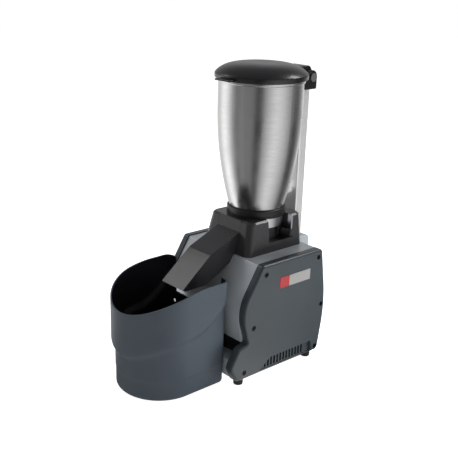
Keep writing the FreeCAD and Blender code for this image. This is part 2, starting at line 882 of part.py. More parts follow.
def make_bracket():
    """The forked cap on the column, with the hinge pin through its cheeks."""
    body = new_body("hinge_bracket")
    half = size("bracket_half")
    low = size("column_top")
    rear = size("bracket_rear")
    front = size("column_front")
    cheek_round = size("pin_radius") * 3
    side = [(front, low), (rear, low, size("column_round")), (rear, size("bracket_top"), cheek_round),
            (front, size("bracket_top"), cheek_round)]
    pad(body, outline(new_sketch(body, "YZ_Plane"), side), half * 2, symmetric=True)
    inside = half - size("cheek_thick")
    slot = [(front - 5, low + size("bracket_floor")), (rear + 5, low + size("bracket_floor")),
            (rear + 5, size("bracket_top") + 5), (front - 5, size("bracket_top") + 5)]
    pocket(body, outline(new_sketch(body, "YZ_Plane"), slot), inside * 2, symmetric=True)
    plug = new_sketch(body, "XY_Plane", low - size("plug_depth"))
    wall = size("column_wall") + FIT
    box_outline(plug, -(size("column_half") - wall), size("column_half") - wall, front + wall,
                size("column_rear") - wall, size("column_round"))
    pad(body, plug, size("plug_depth") + 1)
    middle = (size("column_front") + size("column_rear")) / 2
    drill(body, "XY_Plane", low + size("bracket_floor"), [(ZERO, middle)], size("rod_radius") + FIT,
          size("plug_depth") * 2)
    pin = ring(new_sketch(body, "YZ_Plane"), size("pin_rear"), size("pin_height"), size("pin_radius") + FIT)
    pocket(body, pin, half * 3, symmetric=True)

    reach = half + size("pin_head_thick")
    y, z = size("pin_rear"), size("pin_height")
    pieces = [
        rod("pin_shaft", size("pin_radius"), reach * 2, -reach, y, z, "x"),
        rod("pin_head_left", size("pin_head_radius"), size("pin_head_thick"), -reach, y, z, "x"),
        rod("pin_head_right", size("pin_head_radius"), size("pin_head_thick"), half, y, z, "x"),
    ]
    sub_part(join("hinge_pin", pieces), "hinge_pin")


def make_lid():
    """The domed lid with its front tab, rear arm and hinge knuckle, and its gasket."""
    body = new_body("lid")
    radius = size("lid_radius")
    rise = size("lid_crown") - size("lid_edge")
    dome = (radius * radius.value + rise * rise.value) / (rise * 2)
    dome = Size(dome.value, "((%s)^2 + (%s)^2) / (2 * %s)" % (radius.text, rise.text, rise.text))
    seat = size("lid_seat_inner")
    inner_rise = rise - size("lid_wall") * 2
    inner_dome = Size((seat.value ** 2 + inner_rise.value ** 2) / (2 * inner_rise.value),
                      "((%s)^2 + (%s)^2) / (2 * %s)" % (seat.text, inner_rise.text, inner_rise.text))
    crown = size("lid_crown")
    inner_crown = crown - size("lid_wall")
    skirt = size("lid_wall")
    section = [
        (ZERO, inner_crown),
        (ZERO, crown, None, -dome),
        (radius, size("lid_edge")),
        (radius, size("lid_skirt")),
        (radius - skirt, size("lid_skirt")),
        (radius - skirt, size("lid_seat")),
        (seat, size("lid_seat")),
        (seat, inner_crown - inner_rise, None, inner_dome),
    ]
    turn(body, outline(new_sketch(body, "XZ_Plane"), section))
    rear = size("pin_rear")
    height = size("pin_height")
    knuckle = size("knuckle_radius")
    arm = [
        (seat + 3, size("lid_edge")),
        (seat + 3, height + size("arm_rise")),
        (rear - 1, height + size("arm_rise"), plain(8)),
        (rear + knuckle, height + 6, plain(5)),
        (rear + knuckle, height),
        (rear - knuckle, height),
        (rear - knuckle, size("lid_edge")),
    ]
    pad(body, outline(new_sketch(body, "YZ_Plane"), arm), size("knuckle_half") * 2, symmetric=True)
    tube = ring(new_sketch(body, "YZ_Plane"), rear, height, knuckle)
    pad(body, tube, size("knuckle_half") * 2, symmetric=True)
    bore = ring(new_sketch(body, "YZ_Plane"), rear, height, size("pin_radius") + FIT)
    pocket(body, bore, size("knuckle_half") * 3, symmetric=True)
    tab = new_sketch(body, "XY_Plane", size("lid_skirt"))
    box_outline(tab, -size("tab_half"), size("tab_half"), -(radius + size("tab_reach")), -(radius - skirt),
                size("tab_round"))
    pad(body, tab, size("lid_wall"))

    outer = radius - skirt - 0.6
    ring_body("lid_gasket", outer - size("gasket_width"), outer, size("lid_seat") - size("gasket_thick"),
              size("lid_seat"))


def make_interlock():
    """The push rod inside the column and the switch that it works."""
    middle = (size("column_front") + size("column_rear")) / 2
    bottom = size("switch_top") + 5
    drop = size("pin_rear") - middle - size("rod_radius")
    under = math.sqrt(size("knuckle_radius").value ** 2 - drop.value ** 2)
    under = Size(under, "sqrt(%s^2 - %s^2)" % (size("knuckle_radius").text, drop.text))
    top = size("pin_height") - under - GAP
    rod_piece = rod("interlock_rod", size("rod_radius"), top - bottom, ZERO, middle, bottom)
    sub_part(rod_piece, "interlock_rod")
    wall = size("column_wall")
    front = size("column_front") + wall
    rear = size("column_rear") - wall
    across = size("switch_case_half")
    case = block("switch_case", -across, across, front, rear,
                 size("switch_top") - size("switch_case_height"), size("switch_top"))
    sub_part(case, "lid_switch")


# ---------------------------------------------------------------- bowl and crusher housing

HOUSING_TOP = size("housing_top")
CUP_OUTER = size("cup_inner") + size("cup_wall")
RING_INNER = CUP_OUTER + GAP
RING_OUTER = RING_INNER + size("ring_wall")
BORE = RING_OUTER + GAP
FLOOR = CASTING_TOP + size("housing_floor")
SEAT_TOP = HOUSING_TOP + size("seat_thick")


def make_bowl():
    """The spun steel bowl, open below, with a rolled rim, and the collar it stands in."""
    wall = size("bowl_wall")
    neck = size("bowl_neck")
    full = size("bowl_radius")
    start = SEAT_TOP + GAP + size("collar_lip")
    curve = size("bowl_curve")
    bead = size("bead_round")
    section = [
        (neck, start),
        (neck, size("bowl_neck_top"), None, curve),
        (full, size("bowl_full_height")),
        (full, size("bead_bottom")),
        (size("bead_radius"), size("bead_bottom"), bead),
        (size("bead_radius"), size("bead_top"), bead),
        (full - wall, size("bead_top"), plain(1)),
        (full - wall, size("bowl_full_height"), None, -curve),
        (neck - wall, size("bowl_neck_top")),
        (neck - wall, start),
    ]
    turned_body("hopper_bowl", section)

    low = SEAT_TOP + GAP
    collar = [
        (size("cup_inner") + 1, low),
        (size("collar_radius"), low),
        (size("collar_radius"), size("bowl_neck_top")),
        (size("collar_radius") - size("collar_taper"), size("collar_top")),
        (neck + GAP * 2, size("collar_top")),
        (neck + FIT, start + 6),
        (neck + FIT, start),
        (size("cup_inner") + 1, start),
    ]
    turned_body("bowl_collar", collar)
    ring_body("bowl_seat_ring", size("cup_inner"), size("seat_radius"), HOUSING_TOP, SEAT_TOP)


def taper(way):
    """How far the housing's wall leans in over its height on one side."""
    return size("housing_base_" + way) - size("housing_top_" + way)


def housing_section(body, height, inset):
    """The housing's rounded outline at one height, on its tapered walls, moved inwards."""
    rise = (height - CASTING_TOP) / (HOUSING_TOP - CASTING_TOP)
    half, front, rear = [
        size("housing_base_" + way) - taper(way) * rise - inset for way in ("half", "front", "rear")]
    sketch = new_sketch(body, "XY_Plane", height)
    return box_outline(sketch, -half, half, -front, rear, size("housing_round") - inset)


def loft_between(body, lower, upper):
    """A solid with straight walls between two sections."""
    loft = body.newObject("PartDesign::AdditiveLoft", body.Label + "_loft")
    loft.Profile = lower
    loft.Sections = [upper]
    loft.Ruled = True
    doc.recompute()
    return loft


def make_housing():
    """The dark tapered block that holds the crusher chamber."""
    body = new_body("crusher_housing")
    edge = size("housing_edge")
    shoulder = HOUSING_TOP - edge
    loft_between(body, housing_section(body, CASTING_TOP, ZERO), housing_section(body, shoulder, ZERO))
    loft_between(body, housing_section(body, shoulder, ZERO), housing_section(body, HOUSING_TOP, edge))
    drill(body, "XY_Plane", HOUSING_TOP, [(ZERO, ZERO)], BORE, HOUSING_TOP - size("shoulder_height"))
    drill(body, "XY_Plane", HOUSING_TOP, [(ZERO, ZERO)], CUP_OUTER + FIT, HOUSING_TOP - FLOOR)
    drill(body, "XY_Plane", HOUSING_TOP, [(ZERO, ZERO)], size("seal_radius") + FIT, HOUSING_TOP)
    drill(body, "XY_Plane", CASTING_TOP, HOUSING_SCREWS, size("screw_radius") + FIT, plain(16), reverse=True)
    outlet = new_sketch(body, "XZ_Plane")
    half = size("outlet_half")
    box_outline(outlet, -half, half, FLOOR + size("cup_floor"), size("outlet_top"))
    pocket(body, outlet, size("housing_base_front") + 5, reverse=True)
    slope = (size("housing_base_front") - size("housing_top_front")) / (HOUSING_TOP - CASTING_TOP)
    back = size("plate_thick") + GAP
    slot = [
        (-(size("housing_base_front") + slope * 5 - back), CASTING_TOP - 5),
        (-(size("housing_base_front") + 20), CASTING_TOP - 5),
        (-(size("housing_base_front") + 20), HOUSING_TOP + 5),
        (-(size("housing_top_front") - slope * 5 - back), HOUSING_TOP + 5),
    ]
    sketch = outline(new_sketch(body, "YZ_Plane"), slot)
    pocket(body, sketch, (size("plate_half") + GAP) * 2, symmetric=True)
    window = new_sketch(body, "XY_Plane", HOUSING_TOP)
    box_outline(window, size("cup_inner") - 10, size("housing_base_half") + 10, -size("window_front"),
                size("window_rear"))
    pocket(body, window, HOUSING_TOP - size("shoulder_height"))

    trim = new_body("window_trim")
    sketch = new_sketch(trim, "XY_Plane", size("shoulder_height") + 4)
    box_outline(sketch, size("housing_top_half") - 9, size("housing_top_half") + 3,
                size("window_rear") - size("trim_thick"), size("window_rear"))
    pad(trim, sketch, HOUSING_TOP - size("shoulder_height") - 4)


def outlet_cut(body):
    """Open the front of a round piece where the crushed ice leaves."""
    sketch = new_sketch(body, "XZ_Plane")
    half = size("outlet_half")
    box_outline(sketch, -half, half, FLOOR + size("cup_floor"), size("outlet_top"))
    pocket(body, sketch, CUP_OUTER + 5, reverse=True)


def make_chamber():
    """The cup that the disc spins in, the size ring round it and its lever."""
    floor_top = FLOOR + size("cup_floor")
    section = [
        (size("hub_radius") - 4, FLOOR),
        (CUP_OUTER, FLOOR),
        (CUP_OUTER, HOUSING_TOP - 1),
        (size("cup_inner"), HOUSING_TOP - 1),
        (size("cup_inner"), floor_top),
        (size("hub_radius") - 4, floor_top),
    ]
    outlet_cut(turned_body("crusher_cup", section))

    ring_body("size_ring", RING_INNER, RING_OUTER, size("ring_bottom"), HOUSING_TOP - GAP)

    lever = new_body("size_lever", z=size("lever_height"))
    lever.Placement.Rotation = FreeCAD.Rotation(FreeCAD.Vector(0, 0, 1), float(size("lever_angle")))
    bind(lever, "Placement.Rotation.Angle", size("lever_angle"))
    half = size("lever_width") / 2
    sketch = new_sketch(lever, "XY_Plane", -half)
    spread = size("lever_width") * 1.5
    ring(sketch, ZERO, ZERO, RING_INNER, RING_OUTER)
    pad(lever, sketch, size("ring_bottom") - size("lever_height") + half)
    keep = new_sketch(lever, "YZ_Plane", ZERO)
    box_outline(keep, -(RING_OUTER + 5), RING_OUTER + 5, -(size("lever_width") + 5), size("lever_width") * 2)
    pocket(lever, keep, RING_OUTER + 5)
    for side in (1, -1):
        trim = new_sketch(lever, "XZ_Plane", spread * side)
        box_outline(trim, ZERO, RING_OUTER + 5, -(size("lever_width") + 5), size("lever_width") * 2)
        pocket(lever, trim, RING_OUTER + 5, reverse=side > 0)
    arm = new_sketch(lever, "YZ_Plane", RING_INNER + 1)
    box_outline(arm, -half, half, -half, half)
    pad(lever, arm, size("knob_start") - RING_INNER + 5)

    knob = new_body("lever_knob", z=size("lever_height"))
    knob.Placement.Rotation = FreeCAD.Rotation(FreeCAD.Vector(0, 0, 1), float(size("lever_angle")))
    bind(knob, "Placement.Rotation.Angle", size("lever_angle"))
    sketch = ring(new_sketch(knob, "YZ_Plane", size("knob_start")), ZERO, ZERO, size("knob_radius"))
    pad(knob, sketch, size("knob_length"))
    soften(knob, "Fillet", plain(2), lambda edge: level(edge, "x", edge.BoundBox.XMin)
           and edge.BoundBox.YMax > 1)
    hole = new_sketch(knob, "YZ_Plane", size("knob_start"))
    box_outline(hole, -half, half, -half, half)
    pocket(knob, hole, plain(6), reverse=True)


def make_rotor():
    """The spinning disc with its blades, the nut, and the fixed knife ring above it."""
    low = size("disc_height")
    top = low + size("disc_thick")
    shaft = size("shaft_radius") + FIT
    hub = size("hub_radius")
    section = [
        (shaft, low - size("cup_floor")),
        (hub - 4.5, low - size("cup_floor")),
        (hub - 4.5, low),
        (size("disc_radius"), low),
        (size("disc_radius"), top),
        (hub, top),
        (hub, size("nut_height")),
        (shaft, size("nut_height")),
    ]
    turned_body("crusher_disc", section)
    tall = top + size("blade_height")
    blades = []
    for number in range(4):
        blade = block("blade", hub + 1, size("disc_radius") - 3, -(size("blade_thick") / 2),
                      size("blade_thick") / 2, top, tall)
        blade.Placement.Rotation = FreeCAD.Rotation(FreeCAD.Vector(0, 0, 1), 90 * number)
        turned = [(hub + 1, -(size("blade_thick") / 2)), (size("blade_thick") / 2, hub + 1),
                  (-(hub + 1), size("blade_thick") / 2), (-(size("blade_thick") / 2), -(hub + 1))][number]
        put(blade, turned[0], turned[1], top)
        blades.append(blade)
    sub_part(join("crusher_blades", blades), "crusher_blades")
    nut = cut("disc_nut", hexagon("nut_body", hub, size("nut_thick"), ZERO, ZERO, size("nut_height")),
              rod("nut_bore", shaft, size("nut_thick"), ZERO, ZERO, size("nut_height")))
    sub_part(nut, "disc_nut")

    ring_low = size("knife_ring_top") - size("knife_ring_thick")
    knives = new_body("fixed_knives")
    sketch = new_sketch(knives, "XY_Plane", ring_low)
    ring(sketch, ZERO, ZERO, size("cup_inner") - 5, size("cup_inner") - GAP)
    pad(knives, sketch, size("knife_ring_thick"))
    bar = new_sketch(knives, "XY_Plane", ring_low)
    half = size("blade_thick") / 2
    box_outline(bar, hub + 3, size("cup_inner") - 3, -half, half)
    pad(knives, bar, size("knife_ring_thick"))
    doc.recompute()
    tooth = new_sketch(knives, "XY_Plane", ring_low)
    box_outline(tooth, hub + 3, size("cup_inner") - 8, -half, half)
    pad(knives, tooth, size("knife_drop"), reverse=True)
    pattern = knives.newObject("PartDesign::PolarPattern", "knife_pattern")
    bars = [item for item in knives.Group if item.TypeId == "PartDesign::Pad"][1:]
    pattern.Originals = bars
    axis = [item for item in knives.Origin.OriginFeatures if item.Role == "Z_Axis"][0]
    pattern.Axis = (axis, [""])
    pattern.Angle = 360
    pattern.Occurrences = 3
    knives.Tip = pattern


# ---------------------------------------------------------------- motor

def make_motor():
    """The upright motor that hangs under the casting's top on four posts."""
    shaft = size("shaft_radius")
    low = size("shaft_bottom")
    sub_part(rod("motor_shaft", shaft, size("shaft_top") - low, ZERO, ZERO, low), "motor_shaft")
    stack_low = size("stator_bottom")
    stack_top = size("stator_top")
    rotor_radius = size("stator_bore") - size("air_gap")
    ring_body("rotor_core", shaft + FIT, rotor_radius, stack_low - 3, stack_top + 3)
    stator = new_body("stator_stack")
    sketch = new_sketch(stator, "XY_Plane", stack_low)
    ring(sketch, ZERO, ZERO, size("stator_bore"), size("stator_radius"))
    for x, y in BOLTS:
        ring(sketch, x, y, size("bolt_radius") + FIT)
    pad(stator, sketch, stack_top - stack_low)
    coil = size("winding_height")
    ring_body("upper_winding", size("winding_inner"), size("winding_outer"), stack_top, stack_top + coil)
    ring_body("lower_winding", size("winding_inner"), size("winding_outer"), stack_low - coil, stack_low)

    bearing = size("bearing_radius") + FIT
    outer = size("stator_radius")
    inner = outer - size("bell_wall")
    hub = size("bearing_radius") + 6
    upper_top = size("upper_bell_top")
    plate_low = upper_top - size("bell_plate")
    upper = [
        (bearing, upper_top - 4 - size("bearing_thick")),
        (hub, upper_top - 4 - size("bearing_thick")),
        (hub, plate_low),
        (inner, plate_low),
        (inner, stack_top),
        (outer, stack_top),
        (outer, upper_top),
        (shaft + 4, upper_top),
        (shaft + 4, upper_top - 4),
        (bearing, upper_top - 4),
    ]
    bolt_hole = size("bolt_radius") + FIT
    drill(turned_body("upper_bell", upper), "XY_Plane", upper_top, BOLTS, bolt_hole, upper_top - 20)
    lower_low = size("lower_bell_bottom")
    plate_top = lower_low + size("bell_plate")
    lower = [
        (shaft + 4, lower_low),
        (outer, lower_low),
        (outer, stack_low),
        (inner, stack_low),
        (inner, plate_top),
        (hub, plate_top),
        (hub, lower_low + 4 + size("bearing_thick")),
        (bearing, lower_low + 4 + size("bearing_thick")),
        (bearing, lower_low + 4),
        (shaft + 4, lower_low + 4),
    ]
    drill(turned_body("lower_bell", lower), "XY_Plane", stack_low, BOLTS, bolt_hole, stack_low)
    upper_seat = upper_top - 4 - size("bearing_thick")
    for label, base in (("upper_bearing", upper_seat), ("lower_bearing", lower_low + 4)):
        ring_body(label, shaft + FIT, size("bearing_radius"), base, base + size("bearing_thick"))

    bolts = []
    posts = []
    bores = []
    for x, y in BOLTS:
        posts.append(rod("post_body", size("post_radius"), CASTING_TOP - WALL - upper_top, x, y, upper_top))
        bores.append(rod("post_bore", bolt_hole, CASTING_TOP - WALL - upper_top, x, y, upper_top))
        bolts.append(rod("bolt_shank", size("bolt_radius"), CASTING_TOP - 1 - lower_low, x, y, lower_low))
        bolts.append(hexagon("bolt_head", size("bolt_radius") * 2, plain(3), x, y, lower_low - 3))
    sub_part(cut("motor_posts", join("post_bodies", posts), join("post_bores", bores)), "motor_posts")
    sub_part(join("motor_bolts", bolts), "motor_bolts")

    fan = new_body("cooling_fan")
    hub_low = size("fan_height")
    disc = ring(new_sketch(fan, "XY_Plane", hub_low), ZERO, ZERO, shaft + FIT, size("fan_radius"))
    pad(fan, disc, size("fan_thick"))
    hub_ring = ring(new_sketch(fan, "XY_Plane", hub_low), ZERO, ZERO, shaft + FIT, shaft + 6)
    pad(fan, hub_ring, size("fan_blade_height") + size("fan_thick"))
    blade = new_sketch(fan, "XY_Plane", hub_low)
    box_outline(blade, shaft + 5, size("fan_radius") - 2, plain(-1), plain(1))
    vane = pad(fan, blade, size("fan_blade_height") + size("fan_thick"))
    pattern = fan.newObject("PartDesign::PolarPattern", "fan_pattern")
    pattern.Originals = [vane]
    axis = [item for item in fan.Origin.OriginFeatures if item.Role == "Z_Axis"][0]
    pattern.Axis = (axis, [""])
    pattern.Angle = 360
    pattern.Occurrences = 8
    fan.Tip = pattern

    ring_body("shaft_seal", shaft + FIT, size("seal_radius"), CASTING_TOP - WALL - 2, FLOOR)
    screws = []
    for x, y in HOUSING_SCREWS:
        seat = CASTING_TOP - WALL
        screws.append(rod("housing_screw_shank", size("screw_radius"), WALL + 14, x, y, seat))
        screws.append(hexagon("housing_screw_head", size("screw_head_radius"), size("screw_head_thick"),
                              x, y, seat - size("screw_head_thick")))
    sub_part(join("housing_screws", screws), "housing_screws")


# ---------------------------------------------------------------- chute

def make_chute():
    """The square chute, open below at its mouth, with the plate that slides in the housing."""
    body = new_body("chute")
    slope = (size("housing_base_front") - size("housing_top_front")) / (HOUSING_TOP - CASTING_TOP)
    root_top = size("chute_root_top")
    face_top = size("housing_base_front") - slope * (root_top - CASTING_TOP)
    wall = size("chute_wall")
    outer = [
        (-face_top, root_top),
        (-size("chute_bend_front"), size("chute_bend_height"), plain(12)),
        (-size("chute_lip_front"), size("chute_lip_height")),
        (-size("chute_mouth_front"), size("chute_mouth_height")),
        (-size("chute_mouth_rear"), size("chute_mouth_height")),
        (-size("housing_base_front"), size("chute_root_bottom")),
        (-size("housing_base_front"), CASTING_TOP),
    ]
    pad(body, outline(new_sketch(body, "YZ_Plane"), outer), size("chute_half") * 2, symmetric=True)
    plate = [
        (-size("housing_base_front"), CASTING_TOP + GAP),
        (-size("housing_top_front"), HOUSING_TOP - GAP),
        (-(size("housing_top_front") - size("plate_thick")), HOUSING_TOP - GAP),
        (-(size("housing_base_front") - size("plate_thick")), CASTING_TOP + GAP),
    ]
    pad(body, outline(new_sketch(body, "YZ_Plane"), plate), size("plate_half") * 2, symmetric=True)
    inside = [
        (-(face_top - 8), root_top - wall - 2),
        (-(face_top + 1), root_top - wall - 2),
        (-(size("chute_bend_front") - 1), size("chute_bend_height") - wall, plain(10)),
        (-(size("chute_lip_front") - 3.4), size("chute_lip_height") - 1),
        (-(size("chute_mouth_front") + 1), size("chute_mouth_height") - 5),
        (-(size("chute_mouth_rear") + 3), size("chute_mouth_height") - 5),
        (-(size("chute_mouth_rear") + 3), size("chute_mouth_height") + 1),
        (-(size("housing_base_front") + 1), size("chute_root_bottom") + wall),
        (-(size("housing_base_front") - 0.5), FLOOR + size("cup_floor")),
        (-(face_top - 8), FLOOR + size("cup_floor")),
    ]
    hollow = outline(new_sketch(body, "YZ_Plane"), inside)
    pocket(body, hollow, (size("chute_half") - wall) * 2, symmetric=True)


# ---------------------------------------------------------------- bucket

def bucket_plan(name, half, back, low, high, corner):
    """A U-shaped block: round at the front, flat behind."""
    sketch = doc.addObject("Sketcher::SketchObject", name + "_plan")
    put(sketch, z=low)
    centre = size("bucket_centre")
    nose = -(centre + half)
    outline(sketch, [(half, -centre), (half, -back, corner), (-half, -back, corner),
                     (-half, -centre, None, half), (ZERO, nose, None, half)])
    solid = doc.addObject("Part::Extrusion", name)
    solid.Base = sketch
    solid.DirMode = "Normal"
    solid.Solid = True
    bind(solid, "LengthFwd", high - low)
    return solid


def side_slab(name, corners):
    """A block wider than the bucket, from its outline seen from the side."""
    sketch = doc.addObject("Sketcher::SketchObject", name + "_side")
    sketch.Placement.Rotation = FreeCAD.Rotation(FreeCAD.Vector(1, 1, 1), 120)
    put(sketch)
    outline(sketch, corners)
    slab = doc.addObject("Part::Extrusion", name)
    slab.Base = sketch
    slab.DirMode = "Normal"
    slab.Solid = True
    slab.Symmetric = True
    bind(slab, "LengthFwd", size("bucket_upper_half") * 3)
    return slab


def above_step(name, shift):
    """The space above the slanting step between the bucket's lower and upper walls."""
    front = -(bucket_reach + 5)
    top = size("bucket_rim_rear") + 20
    return side_slab(name, [
        (front, size("step_front_height") + shift, None, -size("step_front_curve")),
        (-size("step_mid_front"), size("step_mid_height") + shift, None, size("step_back_curve")),
        (-(BUCKET_BACK - 5), size("step_back_height") + shift),
        (-(BUCKET_BACK - 5), top),
        (front, top),
    ])


def bucket_hull(name, inset, low, shift, round_edge):
    """Lower and upper walls as one solid, moved inwards by an inset."""
    high = size("bucket_rim_rear") + 5
    corner = size("bucket_corner") - inset
    back = BUCKET_BACK + inset
    lower = bucket_plan(name + "_lower", size("bucket_lower_half") - inset, back, low, high, corner)
    upper = bucket_plan(name + "_upper", size("bucket_upper_half") - inset, back, low, high, corner)
    doc.recompute()
    rounded = doc.addObject("Part::Fillet", name + "_rounded")
    rounded.Base = lower
    count = len(lower.Shape.Edges)
    wanted = [index + 1 for index in range(count) if level(lower.Shape.Edges[index], "z", low)]
    rounded.Edges = [(index, float(round_edge), float(round_edge)) for index in wanted]
    bulge = doc.addObject("Part::Common", name + "_bulge")
    bulge.Base = upper
    bulge.Tool = above_step(name + "_above", shift)
    return join(name, [rounded, bulge])


def make_bucket():
    """The bucket: one thin wall with a slanting step, a sloping rim and a low back."""
    wall = size("bucket_wall")
    outer = bucket_hull("bucket_outer", ZERO, ZERO, ZERO, size("bucket_bottom_round"))
    inner = bucket_hull("bucket_inner", wall, wall, wall, size("bucket_bottom_round") - wall)
    shell = cut("bucket_shell", outer, inner)
    flat = size("bucket_rim_flat")
    rim = side_slab("bucket_rim", [
        (-(bucket_reach + 5), size("bucket_rim_front") - 5, None, -size("bucket_rim_curve")),
        (-flat, size("bucket_rim_rear")),
        (-(BUCKET_BACK - 5), size("bucket_rim_rear")),
        (-(BUCKET_BACK - 5), size("bucket_rim_rear") + 20),
        (-(bucket_reach + 5), size("bucket_rim_rear") + 20),
    ])
    ear = size("bucket_ear")
    gap = block("bucket_gap", -ear, ear, -(BUCKET_BACK + wall + 1), -(BUCKET_BACK - 1),
                size("bucket_back_top"), size("bucket_rim_rear") + 10)
    holes = [rod("hook_hole", size("hook_hole"), wall + 4, side, -(BUCKET_BACK + wall + 2),
                 size("bucket_back_top") - 20, "y") for side in (-(ear + 3), ear + 3)]
    sub_part(cut("collecting_bucket", shell, join("bucket_cuts", [rim, gap] + holes)), "collecting_bucket")


# ---------------------------------------------------------------- label, switch and small fittings

def make_fittings():
    """The label, the power switch, the cable gland, the capacitor and the terminal block."""
    face = CASTING_HALF + size("cover_thick")
    thick = size("label_thick")
    low, high = plain(171.5), plain(192)
    split = plain(-17)
    sub_part(block("label_patch", face, face + thick, split - 24, split, low, high), "label_patch")
    sub_part(block("label_plate", face, face + thick, split, split + 55, low, high), "label_plate")

    height = size("switch_height")
    across = size("switch_half_width")
    tall = size("switch_half_height")
    body = new_body("switch_body")
    rim = new_sketch(body, "YZ_Plane", -(face + 2))
    box_outline(rim, -(across + 1), across + 1, height - tall - 1, height + tall + 1, plain(2))
    pad(body, rim, plain(2))
    case = new_sketch(body, "YZ_Plane", -face)
    box_outline(case, -(across - 1), across - 1, height - tall + 1, height + tall - 1)
    pad(body, case, size("cover_thick") + 4)
    well = new_sketch(body, "YZ_Plane", -(face + 2))
    box_outline(well, -(size("rocker_half_width") + 0.5), size("rocker_half_width") + 0.5,
                height - size("rocker_half_height") - 1.5, height + size("rocker_half_height") + 1.5)
    pocket(body, well, size("cover_thick"), reverse=True)
    hold = size("rocker_half_width") + 1
    pivot = ring(new_sketch(body, "XZ_Plane", -hold), -(face - 3), height, size("screw_radius") - 0.5)
    pad(body, pivot, hold * 2)

    rocker = new_body("power_rocker", -(face - 3), ZERO, height)
    rocker.Placement.Rotation = FreeCAD.Rotation(FreeCAD.Vector(0, 1, 0), -float(size("rocker_tilt")))
    side = size("rocker_half_height")
    profile = [(plain(-4.5), -side), (plain(6), -(side - 4)), (plain(6), side - 4),
               (plain(-4.5), side), (plain(-6), ZERO)]
    sketch = outline(new_sketch(rocker, "XZ_Plane"), profile)
    ring(sketch, ZERO, ZERO, size("screw_radius") - 0.5 + FIT)
    pad(rocker, sketch, size("rocker_half_width") * 2, symmetric=True)

    y = size("rear_bottom")
    x, z = -size("gland_side"), size("gland_height")
    pieces = [
        rod("gland_tube", size("gland_radius"), plain(28), x, y - 10, z, "y"),
        hexagon("gland_nut", size("gland_radius") + 4, plain(7), x, y + 7.4, z, "y"),
        hexagon("gland_inner_nut", size("gland_radius") + 3, plain(4), x, y - 5, z, "y"),
    ]
    bore = rod("gland_bore", size("gland_bore"), plain(40), x, y - 15, z, "y")
    sub_part(cut("cable_gland", join("gland_solid", pieces), bore), "cable_gland")

    case = rod("capacitor_can", size("capacitor_radius"), size("capacitor_height"), plain(42),
               -(size("recess_front") - 24), CASTING_BOTTOM)
    stud = rod("capacitor_stud", plain(4), size("capacitor_height") + 8, plain(42),
               -(size("recess_front") - 24), CASTING_BOTTOM)
    sub_part(join("run_capacitor", [case, stud]), "run_capacitor")
    row = block("terminal_bar", plain(-62), plain(-14), -(size("recess_front") - 12),
                -(size("recess_front") - 32), CASTING_BOTTOM, CASTING_BOTTOM + 16)
    wells = [rod("terminal_well", plain(2.5), plain(10), Size(-56 + 12 * number, "%d" % (-56 + 12 * number)),
                 -(size("recess_front") - 22), CASTING_BOTTOM + 8) for number in range(4)]
    sub_part(cut("terminal_block", row, join("terminal_wells", wells)), "terminal_block")


make_casting()
make_base()
for name, side in (("right", 1), ("left", -1)):
    make_cover("side_cover_" + name, side)
    make_cover_screws("cover_screws_" + name, side)
make_column()
make_bracket()
make_lid()
make_interlock()
make_bowl()
make_housing()
make_chamber()
make_rotor()
make_motor()
make_chute()
make_bucket()
make_fittings()
doc.recompute()

for thing in doc.Objects:
    if "Invalid" in thing.State or "Error" in thing.State:
        raise ValueError("%s did not build: %s" % (thing.Label, thing.State))
os.makedirs("parts", exist_ok=True)
for node in NODES:
    shape = node.Shape
    if shape.isNull() or not shape.isValid() or not shape.Solids:
        raise ValueError("%s is not a sound solid" % node.Label)
    shape.exportStep("parts/%s.step" % node.Label)
print("%d sub-parts" % len(NODES))
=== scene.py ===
"""Countertop ice crusher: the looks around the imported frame."""
import json
import math

import bpy
from bpy.props import FloatProperty, FloatVectorProperty, IntProperty, PointerProperty
from mathutils import Matrix, Vector


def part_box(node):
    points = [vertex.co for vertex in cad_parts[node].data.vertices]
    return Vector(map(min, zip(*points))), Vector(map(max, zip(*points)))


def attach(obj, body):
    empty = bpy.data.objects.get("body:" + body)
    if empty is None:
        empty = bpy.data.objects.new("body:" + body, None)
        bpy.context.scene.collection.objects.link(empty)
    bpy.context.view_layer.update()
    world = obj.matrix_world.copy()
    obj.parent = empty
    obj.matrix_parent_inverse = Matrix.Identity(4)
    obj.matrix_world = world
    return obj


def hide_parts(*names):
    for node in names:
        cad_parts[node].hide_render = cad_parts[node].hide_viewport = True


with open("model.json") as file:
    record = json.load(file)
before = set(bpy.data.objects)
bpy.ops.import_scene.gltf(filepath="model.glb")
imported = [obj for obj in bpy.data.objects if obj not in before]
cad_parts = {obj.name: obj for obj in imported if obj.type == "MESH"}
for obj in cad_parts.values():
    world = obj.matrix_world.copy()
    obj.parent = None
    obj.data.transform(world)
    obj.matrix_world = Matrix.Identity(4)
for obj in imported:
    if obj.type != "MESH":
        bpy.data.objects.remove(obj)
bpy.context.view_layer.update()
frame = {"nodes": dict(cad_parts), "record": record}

bl_info = {
    "name": "Ice crusher looks",
    "version": (1, 0, 0),
    "blender": (4, 5, 0),
    "location": "View3D > Sidebar > Ice crusher",
    "description": "Finishes, shells and the studio round the packed ice crusher",
    "category": "Object",
}

MM = 0.001
BOWL_LOW, BOWL_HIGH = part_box("hopper_bowl")
AXIS_Y = (BOWL_LOW.y + BOWL_HIGH.y) / 2      # the bowl's upright axis stands on this line
MERGE = 0.00002                              # points of a new shell nearer than this are one
CAD_MERGE = 2e-6                             # the same for a copied CAD node
FLAT = math.radians(0.6)                     # faces of a copied CAD node closer to flat than this are one
SMOOTH, SMOOTH_SHELL = math.radians(32), math.radians(40)


